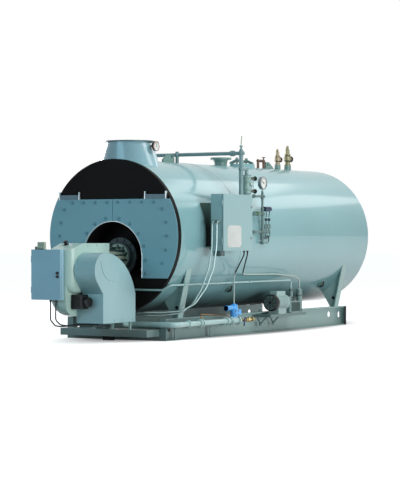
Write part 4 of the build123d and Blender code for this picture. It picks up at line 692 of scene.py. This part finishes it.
# Gauge manifold: small-bore pipe with screwed tees that carries the pressure switch and two sensors
# on coiled syphons. A green lever cock shuts one branch, and capillary lines join the instruments.
manifold_x = 0.935
branch_enamel = enamel("branch_enamel", (84, 112, 110), rough=0.42, coat=0.08)
paint_nodes(branch_enamel, "gauge_manifold")
switch_enamel = enamel("switch_enamel", (22, 40, 68), rough=0.45, shine=0.2)
paint_nodes(switch_enamel, "pressure_switches")
work = bmesh.new()
for z in (1.692, 1.477, 1.257):
    for y in (-0.622, -0.574):
        nut = [(0, 0), (0.02, 0), (0.0215, 0.004), (0.0215, 0.012), (0, 0.014)]
        lathe(work, nut, (manifold_x, y, z), aft, 8)
    lathe(work, disc(0.024, 0.01, (0.018, 0.014)), (manifold_x, -0.806, z), aft, 6)
for z in (1.655, 1.505, 1.29, 1.16):
    lathe(work, disc(0.0195, 0.013), (manifold_x, -0.592, z), up, 8)
fitted(work, "manifold_nuts", branch_enamel)
work = bmesh.new()
green_enamel = enamel("green_enamel", (56, 104, 58), rough=0.45, coat=0.1)
slab(work, (0.926, -0.79, 1.497), (0.944, -0.64, 1.505), 0.002)
cock = [(0, 0), (0.021, 0), (0.023, 0.012), (0.023, 0.034), (0.018, 0.042), (0, 0.042)]
lathe(work, cock, (manifold_x, -0.735, 1.477), aft, 10)
lathe(work, [(0, 0), (0.008, 0), (0.008, 0.026), (0, 0.028)], (manifold_x, -0.714, 1.48), up)
fitted(work, "lever_cock", green_enamel)
work = bmesh.new()
capillary = enamel("capillary", (46, 66, 64), rough=0.45, patch=40, drift=0.2, waves=0.0005, shine=0.3)
for y, bow in ((-0.50, 0.012), (-0.426, -0.012)):
    upper = [(manifold_x, y, 1.44), (0.938, y + bow, 1.47), (0.945, y - bow, 1.49), (manifold_x, y, 1.515)]
    lower = [(manifold_x, y, 1.302), (0.944, y + bow, 1.27), (0.938, y - 2 * bow, 1.235)]
    tube(work, upper, 0.005)
    tube(work, [*lower, (manifold_x, y - bow, 1.20)], 0.005)
    nut = [(0, 0), (0.017, 0), (0.0185, 0.005), (0.0185, 0.013), (0, 0.016)]
    lathe(work, nut, (manifold_x, y, 1.405), up, 6)
    lathe(work, disc(0.011, 0.012), (manifold_x, y, 1.19), up, 6)
for line in (
    ((-0.438, 1.20), (-0.46, 1.175), (-0.54, 1.172), (-0.592, 1.185)),
    ((-0.488, 1.20), (-0.505, 1.185), (-0.56, 1.19), (-0.592, 1.20)),
):
    tube(work, [(manifold_x, y, z) for y, z in line], 0.005)
fitted(work, "capillary_lines", capillary)

# Handholes: dished covers low on the shell, painted as the fittings on the crown are. Each is pulled up
# by one bolt through a forged iron crab that bridges the hole.
dark_iron = enamel("dark_iron", (40, 48, 50), patch=14, drift=0.2, shine=0.25)
paint_nodes(crown_enamel, "handhole_covers")
work = bmesh.new()
out = Vector((0.719, 0, -0.695))
slope = Vector((0.695, 0, 0.719))
for y in (-0.925, 1.51):
    root = Vector((0, y, shell_axis)) + out * 0.918
    crab = ((-0.05, 0), (-0.035, 0.02), (0, 0.022), (0.035, 0.02), (0.05, 0))
    tube(work, [root + slope * reach + out * rise for reach, rise in crab], 0.009)
    lathe(work, [(0, 0), (0.019, 0), (0.019, 0.016), (0, 0.018)], root + out * 0.022, out, 6)
fitted(work, "handhole_crabs", dark_iron)

# Control cabinet: folded sheet with a hinged door, powder coated, on two brackets painted dark as shade,
# lighter towards their tops. The door has a bare printed plate on rivets and two quarter-turn locks.
# Conduits enter by threaded hubs, and the small boxes below the cabinet and on the platform have screwed
# lids.
cabinet_enamel = enamel(
    "cabinet_enamel", (150, 182, 184), rough=0.42, coat=0.08, patch=3, drift=0.04, waves=0.003)
paint_nodes(cabinet_enamel, "control_cabinet", "cabinet_door")
box_enamel = enamel("box_enamel", (62, 86, 86), rough=0.45, patch=6, drift=0.1)
paint_nodes(box_enamel, "cabinet_junction_box", "platform_junction_box")
# Painted shade: the brackets are nearly black, lighter towards their tops, for the shaded gap behind the
# cabinet.
bracket_shade_enamel = enamel(
    "bracket_shade_enamel", (34, 36, 32), rough=0.45, patch=2.2, drift=0.15, waves=0.004, shine=0.1)
by_place(bracket_shade_enamel, "Z", 1.3, 1.62, (116, 130, 122), 0.9)
paint_nodes(bracket_shade_enamel, "cabinet_brackets")
work = bmesh.new()
slab(work, (1.1665, -1.84, 1.075), (1.1685, -1.515, 1.33), 0.0008)
plate_card = enamel("plate_card", (206, 208, 204), rough=0.45, coat=0.2, patch=12, drift=0.05, waves=0.0002)
fitted(work, "cabinet_plate", plate_card, "cabinet_leaf")
rivets = []
for y in (-1.828, -1.527):
    for z in (1.087, 1.318):
        rivets.append(((1.1685, y, z), right))
bolts("plate_rivets", rivets, 0.009, 0.003, gauge_steel, "cabinet_leaf")
work = bmesh.new()
for z in (1.18, 1.55):
    lathe(work, disc(0.016, 0.006, (0.012, 0.009)), (1.1665, -1.278, z), right)
    slab(work, (1.172, -1.281, z - 0.009), (1.1775, -1.275, z + 0.009), 0.001)
fitted(work, "cabinet_locks", gauge_steel, "cabinet_leaf")
conduit_metal = metal("conduit_metal", (132, 152, 152), 0.36)
paint_nodes(conduit_metal, "conduits")
work = bmesh.new()
for x in (1.055, 1.117):
    lathe(work, disc(0.022, 0.01), (x, -1.9285, 1.376), fore, 6)
    lathe(work, [(0, 0), (0.016, 0), (0.0165, 0.02), (0.0135, 0.03), (0, 0.03)], (x, -1.936, 1.376), fore)
for y, z in ((-2.57, 0.188), (-2.60, 0.213)):
    lathe(work, disc(0.019, 0.008, (0.0145, 0.012)), (-0.0105, y, z), right, 6)
fitted(work, "conduit_hubs", conduit_metal)
lid_screws = []
for x in (1.03, 1.114):
    for z in (0.985, 1.023):
        lid_screws.append(((x, -1.918, z), fore))
for x in (-0.148, -0.022):
    for z in (0.145, 0.217):
        lid_screws.append(((x, -2.63, z), fore))
bolts("lid_screws", lid_screws, 0.009, 0.004, gauge_steel)

# Cables: black sheathed cable out of the cabinet and the burner's box that goes on in bright flexible
# conduit near the floor, with a gland where it enters. They are held at both ends.
sheathed_cable = enamel("sheathed_cable", (26, 30, 32), patch=30, drift=0.2, waves=0.0003, shine=0.2)
by_place(sheathed_cable, "Z", 0.776, 0.752, (188, 200, 192), 1)
paint_nodes(sheathed_cable, "cabinet_cables")
cable_black = enamel("cable_black", (34, 44, 46), patch=30, drift=0.2, waves=0.0003, shine=0.25)
paint_nodes(cable_black, "burner_cables")
work = bmesh.new()
gland = disc(0.0135, 0.01, (0.0115, 0.014), (0.0105, 0.026))
for x, y in ((1.12, -1.288), (1.11, -1.35)):
    lathe(work, gland, (x, y, 1.036), down, 6)
for x, y in ((-0.12, -3.553), (-0.062, -3.535)):
    lathe(work, gland, (x, y, 0.494), down, 6)
for x, z in ((-0.12, 0.187), (-0.062, 0.199)):
    lathe(work, gland, (x, -2.629, z), fore, 6)
fitted(work, "cable_glands", black_plastic)

# Burner casing: folded sheet round the fan, bent to a radius along its front edges, with a rolled air
# box beside it and a shaft down to the platform. It is sprayed pale blue-green, the casing in a lighter,
# greener copy of the air box's paint as painted light. The seams are screwed, and a black knob on the
# sloped top holds the sight-glass cover.
burner_enamel = enamel(
    "burner_enamel", (157, 192, 196), rough=0.38, coat=0.1, patch=2.5, drift=0.05, waves=0.006)
paint_nodes(burner_enamel, "burner_air_box")


def bend_at(radius, away):
    """How far an edge bent to a radius stands out at a distance from where its bend starts."""
    return max(0, radius ** 2 - max(0, away) ** 2) ** 0.5


def casing_cut(work, x, front, floor, bend):
    """The casing's outline at x: a bent lower front edge, a ramp at the top, and square at the rear."""
    outline = []
    for step in range(11):
        angle = radians(step * 9)
        outline.append((x, front + bend * (1 - sin(angle)), floor + bend * (1 - cos(angle))))
    ramp = 1.05 + (front + 3.52) * 0.075 / 0.21
    outline += [(x, front, ramp), (x, -3.31, 1.125), (x, -2.765, 1.125), (x, -2.765, floor)]
    return [work.verts.new(place) for place in outline]


work = bmesh.new()
cuts = []
left_bend = (-0.158, -0.1572, -0.155, -0.151, -0.145, -0.137, -0.128, -0.11, -0.085, -0.055, -0.018)
for x in (*left_bend, 0.04, 0.05, 0.06):
    front = max(-3.49 - bend_at(0.03, -0.128 - x), -3.42 - bend_at(0.1, x - 0.04))
    cuts.append(casing_cut(work, x, front, 0.452 - bend_at(0.14, -0.018 - x), 0.15))
for x in (0.06, 0.07, 0.08, 0.09, 0.1, 0.11, 0.12, 0.128, 0.134, 0.138, 0.14):
    cuts.append(casing_cut(work, x, -3.42 - bend_at(0.1, x - 0.04), 0.61 - bend_at(0.045, x - 0.095), 0.13))
for first, second in zip(cuts, cuts[1:]):
    for here in range(len(first)):
        after = (here + 1) % len(first)
        work.faces.new((first[here], first[after], second[after], second[here]))
work.faces.new(cuts[0])
work.faces.new(cuts[-1])
bmesh.ops.remove_doubles(work, verts=work.verts, dist=1e-5)
bmesh.ops.dissolve_degenerate(work, edges=work.edges, dist=1e-5)
# Painted light: the casing is a lighter, greener copy of the air box's paint.
casing_lit_enamel = enamel(
    "casing_lit_enamel", (186, 214, 204), rough=0.38, coat=0.1, patch=2.5, drift=0.05, waves=0.006)
casing = fitted(work, "burner_casing", casing_lit_enamel)
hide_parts("burner_housing")
work = bmesh.new()
slope = Vector((0, -0.336, 0.942))
seat = Vector((-0.05, -3.352, 1.109))
knob = disc(0.03, 0.006, (0.017, 0.01), (0.017, 0.02), (0.026, 0.026), (0.026, 0.04), (0.02, 0.045))
lathe(work, knob, seat, slope)
fitted(work, "casing_knob", black_plastic)
work = bmesh.new()
lathe(work, disc(0.024, 0.006, (0.016, 0.009)), seat + Vector((0.06, 0.012, 0.004)), slope)
fitted(work, "sight_cover", strip_metal)
casing_screws = []
for y in (-3.2, -3.02, -2.84):
    casing_screws.append(((0.14, y, 1.1), right))
for y in (-3.24, -3.08, -2.92, -2.71):
    casing_screws.append(((0.42, y, 0.262), right))
for z in (0.34, 0.44, 0.54):
    casing_screws.append(((0.42, -2.674, z), right))
bolts("casing_screws", casing_screws, 0.012, 0.005, burner_enamel)

# Blast tube: a cast head behind the casing, ringed by gas and ignition lines that run into it, and a
# dark bolted flange in the recess of the boiler's front.
cast_metal = enamel("cast_metal", (164, 180, 164), patch=12, drift=0.14, waves=0.002)
paint_nodes(cast_metal, "blast_tube")
dark_flange = enamel("dark_flange", (58, 68, 70), patch=8, drift=0.15, shine=0.25)
work = bmesh.new()
flange = [(0.1485, 0), (0.2215, 0), (0.2235, 0.003), (0.2235, 0.026), (0.2205, 0.029), (0.1485, 0.029)]
lathe(work, flange, (0, -2.331, arch_level), aft, 64)
roll = [(0.1485, 0), (0.166, 0.004), (0.17, 0.014), (0.166, 0.024), (0.1485, 0.028)]
lathe(work, roll, (0, -2.366, arch_level), aft, 56)
fitted(work, "tube_flange", dark_flange)
tube_seats = bolt_circle((0, -2.331, arch_level), fore, 0.197, 12)
bolts("tube_bolts", tube_seats, 0.024, 0.014, dark_flange)
head_seats = bolt_circle((0, -2.38, arch_level), fore, 0.128, 10)
bolts("head_bolts", head_seats, 0.018, 0.012, dark_flange)
work = bmesh.new()
hub = Vector((0, 0, arch_level))
lines = ((75, 0.13, 0.009), (40, 0.12, 0.011), (10, 0.11, 0.009), (-22, 0.12, 0.008), (118, 0.12, 0.009))
for angle, start, radius in lines:
    ray = Vector((cos(radians(angle)), 0, sin(radians(angle))))
    run = ((start, -2.764), (start, -2.60), (0.105, -2.50), (0.105, -2.378))
    tube(work, [hub + ray * reach + Vector((0, y, 0)) for reach, y in run], radius)
    for reach, y in ((0.105, -2.394), (start, -2.766)):
        lathe(work, disc(radius * 2, 0.014), hub + ray * reach + Vector((0, y, 0)), aft, 6)
fitted(work, "head_lines", capillary)

# Burner control box: a shallow sheet box with a plain hinged door, two black latches and a relay in a
# moulded beige case that plugs into a wider base on its top.
box_paint = enamel(
    "box_paint", (164, 202, 218), rough=0.4, coat=0.08, patch=3, drift=0.05, waves=0.003, shine=0.3)
paint_nodes(box_paint, "burner_control_box", "control_box_door")
work = bmesh.new()
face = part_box("control_box_door")[0][1]
latch = disc(0.0175, 0.005, (0.0145, 0.008), (0.0145, 0.019), (0.011, 0.022))
for z in (0.755, 0.795):
    lathe(work, latch, (-0.002, face + 0.014, z), fore)
fitted(work, "box_latches", black_plastic, "control_leaf")
paint_nodes(beige_plastic, "burner_relay")
work = bmesh.new()
slab(work, (-0.331, -3.562, 1.0565), (-0.199, -3.522, 1.09), 0.004)
slab(work, (-0.288, -3.5635, 1.112), (-0.208, -3.5605, 1.13), 0.001)
fitted(work, "relay_base", beige_plastic)
work = bmesh.new()
slab(work, (-0.326, -3.5635, 1.0565), (-0.21, -3.5615, 1.066), 0.0008)
lathe(work, [(0, 0), (0.008, 0), (0.008, 0.005), (0, 0.006)], (-0.313, -3.5615, 1.077), fore)
fitted(work, "relay_details", black_plastic)

# Damper motor: a moulded black case on the air box's shaft, with upright fins on its front and a round
# ribbed cap over its spindle.
paint_nodes(black_plastic, "damper_motor")
fins = []
for step in range(9):
    fins.append(((0.078 + step * 0.0125, -3.4145, 0.471), fore, up))
ribs("damper_fins", fins, 0.13, 0.005, 0.004, black_plastic)
cap_ribs = []
for step in range(20):
    ray = Vector((0, cos(2 * pi * step / 20), sin(2 * pi * step / 20)))
    cap_ribs.append((Vector((0.252, -3.358, 0.471)) + ray * 0.0395, ray, right))
ribs("damper_cap_ribs", cap_ribs, 0.044, 0.006, 0.005, black_plastic)

# Fuel train: painted steel pipe along the skid with screwed unions, a cast valve with a blue motor on
# it, a brass cock with a dark lever, and a thin copper pilot line beside the pipe.
fuel_x = 0.85
fuel_level = 0.19
fuel_enamel = enamel("fuel_enamel", (172, 202, 200), rough=0.36, coat=0.2, patch=5, drift=0.1)
paint_nodes(fuel_enamel, "fuel_pipe", "fuel_valve")
paint_nodes(turned_brass, "brass_cock")
blue_enamel = enamel("blue_enamel", (66, 164, 236), rough=0.38, coat=0.2, drift=0.1)
paint_nodes(blue_enamel, "valve_actuator")
work = bmesh.new()
for y in (-1.96, -1.90, -1.335, -1.25, -2.21):
    union = [(0, 0), (0.047, 0), (0.049, 0.004), (0.049, 0.018), (0.047, 0.022), (0, 0.022)]
    lathe(work, union, (fuel_x, y, fuel_level), aft, 8)
fitted(work, "fuel_unions", fuel_enamel)
flange_seats = bolt_circle((fuel_x, -1.226, fuel_level), fore, 0.041, 4)
flange_seats += bolt_circle((fuel_x, -1.054, fuel_level), aft, 0.041, 4)
bolts("fuel_flange_bolts", flange_seats, 0.016, 0.012, gauge_steel)
work = bmesh.new()
lathe(work, band(0.047, 0.052, 0.014), (fuel_x, -1.14, 0.325), up, 36)
lathe(work, disc(0.02, 0.012, (0.012, 0.018)), (fuel_x, -1.14, 0.379), up, 8)
lathe(work, disc(0.036, 0.01, (0.031, 0.014)), (fuel_x, -1.316, 0.344), fore, 12)
fitted(work, "actuator_caps", blue_enamel)
actuator_seats = []
for y in (-1.11, -1.17):
    for z in (0.262, 0.306):
        actuator_seats.append(((0.896, y, z), right))
bolts("actuator_screws", actuator_seats, 0.012, 0.006, gauge_steel)
work = bmesh.new()
lever_enamel = enamel("lever_enamel", (40, 50, 92), rough=0.45, coat=0.1)
lathe(work, disc(0.009, 0.026), (0.878, -0.975, 0.19), right, 8)
tube(work, [(0.897, -0.975, 0.196), (0.905, -0.978, 0.165), (0.905, -0.988, 0.12)], 0.009)
tube(work, [(0.897, -0.975, 0.19), (0.903, -0.962, 0.205), (0.905, -0.952, 0.222)], 0.009)
fitted(work, "cock_lever", lever_enamel)
copper = metal("copper", (146, 112, 74), 0.35)
work = bmesh.new()
pilot = [(fuel_x, -1.87, 0.222), (0.83, -1.87, 0.27), (0.79, -1.84, 0.292), (0.785, -1.55, 0.272)]
pilot += [(0.788, -1.33, 0.262), (0.80, -1.22, 0.255), (0.835, -1.205, 0.235)]
tube(work, pilot, 0.007)
fitted(work, "pilot_line", copper)

# Atomising-air set: a motor with lengthwise cooling fins and a black fan cover drives a small finned
# compressor through a coupling. All are bolted to a shelf on the rail, with a tall inlet filter at the
# end and a painted air pipe held by clips.
set_x = 0.83
motor_level = 0.374
motor_enamel = enamel("motor_enamel", (152, 178, 176), rough=0.42, coat=0.08, patch=7, drift=0.1)
paint_nodes(motor_enamel, "compressor_motor")
set_enamel = enamel("set_enamel", (112, 140, 137), rough=0.45, coat=0.06, patch=7)
paint_nodes(set_enamel, "air_compressor")
fin_enamel = enamel("fin_enamel", (58, 78, 76), coat=0.04, patch=7)
block_fins = []
for step in range(8):
    block_fins.append(((0.905, 0.225 + step * 0.029, 0.31), right, up))
ribs("block_fins", block_fins, 0.115, 0.016, 0.009, fin_enamel)
work = bmesh.new()
coupling = [(0, 0), (0.058, 0), (0.062, 0.004), (0.062, 0.017), (0.058, 0.021), (0, 0.021)]
lathe(work, coupling, (set_x, 0.158, motor_level), aft)
fitted(work, "coupling", black_plastic)
shelf_enamel = enamel("shelf_enamel", (96, 120, 118), coat=0.04, patch=5)
paint_nodes(shelf_enamel, "compressor_shelf")
fins = []
for step in range(40):
    angle = radians(-70 + step * 8.2)
    ray = Vector((cos(angle), 0, sin(angle)))
    if ray.z < 0.86 and ray.z > -0.6:
        fins.append((Vector((set_x, 0.0, motor_level)) + ray * 0.1, ray, aft))
ribs("motor_fins", fins, 0.215, 0.012, 0.0035, motor_enamel)
work = bmesh.new()
cowl = [(0, 0), (0.018, 0.0), (0.022, 0.004)]
for step in range(5):
    r = 0.03 + step * 0.014
    cowl += [(r, 0.004), (r + 0.002, 0), (r + 0.006, 0), (r + 0.008, 0.004)]
cowl += [(0.099, 0.006), (0.1045, 0.014), (0.1055, 0.066), (0.1045, 0.068), (0, 0.068)]
lathe(work, cowl, (set_x, -0.2085, motor_level), aft, 48)
fitted(work, "fan_cowl", black_plastic)
spokes = []
for step in range(8):
    ray = Vector((cos(pi * step / 4), 0, sin(pi * step / 4)))
    spokes.append((Vector((set_x, -0.2085, motor_level)) + ray * 0.058, fore, ray))
ribs("cowl_spokes", spokes, 0.08, 0.005, 0.005, black_plastic)
work = bmesh.new()
slab(work, (0.784, -0.121, 0.508), (0.876, 0.101, 0.5145), 0.002)
end_cap = [(0, 0), (0.044, 0), (0.046, 0.003), (0.046, 0.012), (0.03, 0.016), (0, 0.016)]
lathe(work, end_cap, (set_x, 0.141, motor_level), aft, 12)
fitted(work, "motor_lid", motor_enamel)
work = bmesh.new()
for step in range(7):
    lathe(work, band(0.05, 0.062, 0.0035, 0.0005), (set_x, 0.325, 0.389 + step * 0.008), up)
for y in (0.20, 0.45):
    slab(work, (0.752, y - 0.012, 0.2325), (0.908, y + 0.012, 0.246), 0.002)
lathe(work, band(0.0355, 0.0405, 0.022), (set_x, 0.565, 0.25), up, 30)
lathe(work, band(0.0355, 0.0405, 0.016), (set_x, 0.565, 0.44), up, 30)
lathe(work, [(0, 0), (0.028, 0), (0.028, 0.018), (0, 0.02)], (set_x, 0.34, 0.51), up, 8)
fitted(work, "compressor_fins", fin_enamel)
set_seats = []
for x in (0.765, 0.895):
    for y in (0.20, 0.45):
        set_seats.append(((x, y, 0.246), up))
    for y in (-0.10, 0.075):
        set_seats.append(((set_x + (x - set_x) * 1.22, y, 0.232), up))
bolts("set_bolts", set_seats, 0.014, 0.009, gauge_steel)
air_pipe_enamel = enamel("air_pipe_enamel", (160, 192, 190), rough=0.36, coat=0.15, patch=5, drift=0.08)
paint_nodes(air_pipe_enamel, "air_pipe")
work = bmesh.new()
for y in (-2.2, -1.5, -0.7):
    slab(work, (0.796, y - 0.012, 0.63), (0.832, y + 0.012, 0.6595), 0.003)
fitted(work, "air_pipe_clips", air_pipe_enamel)
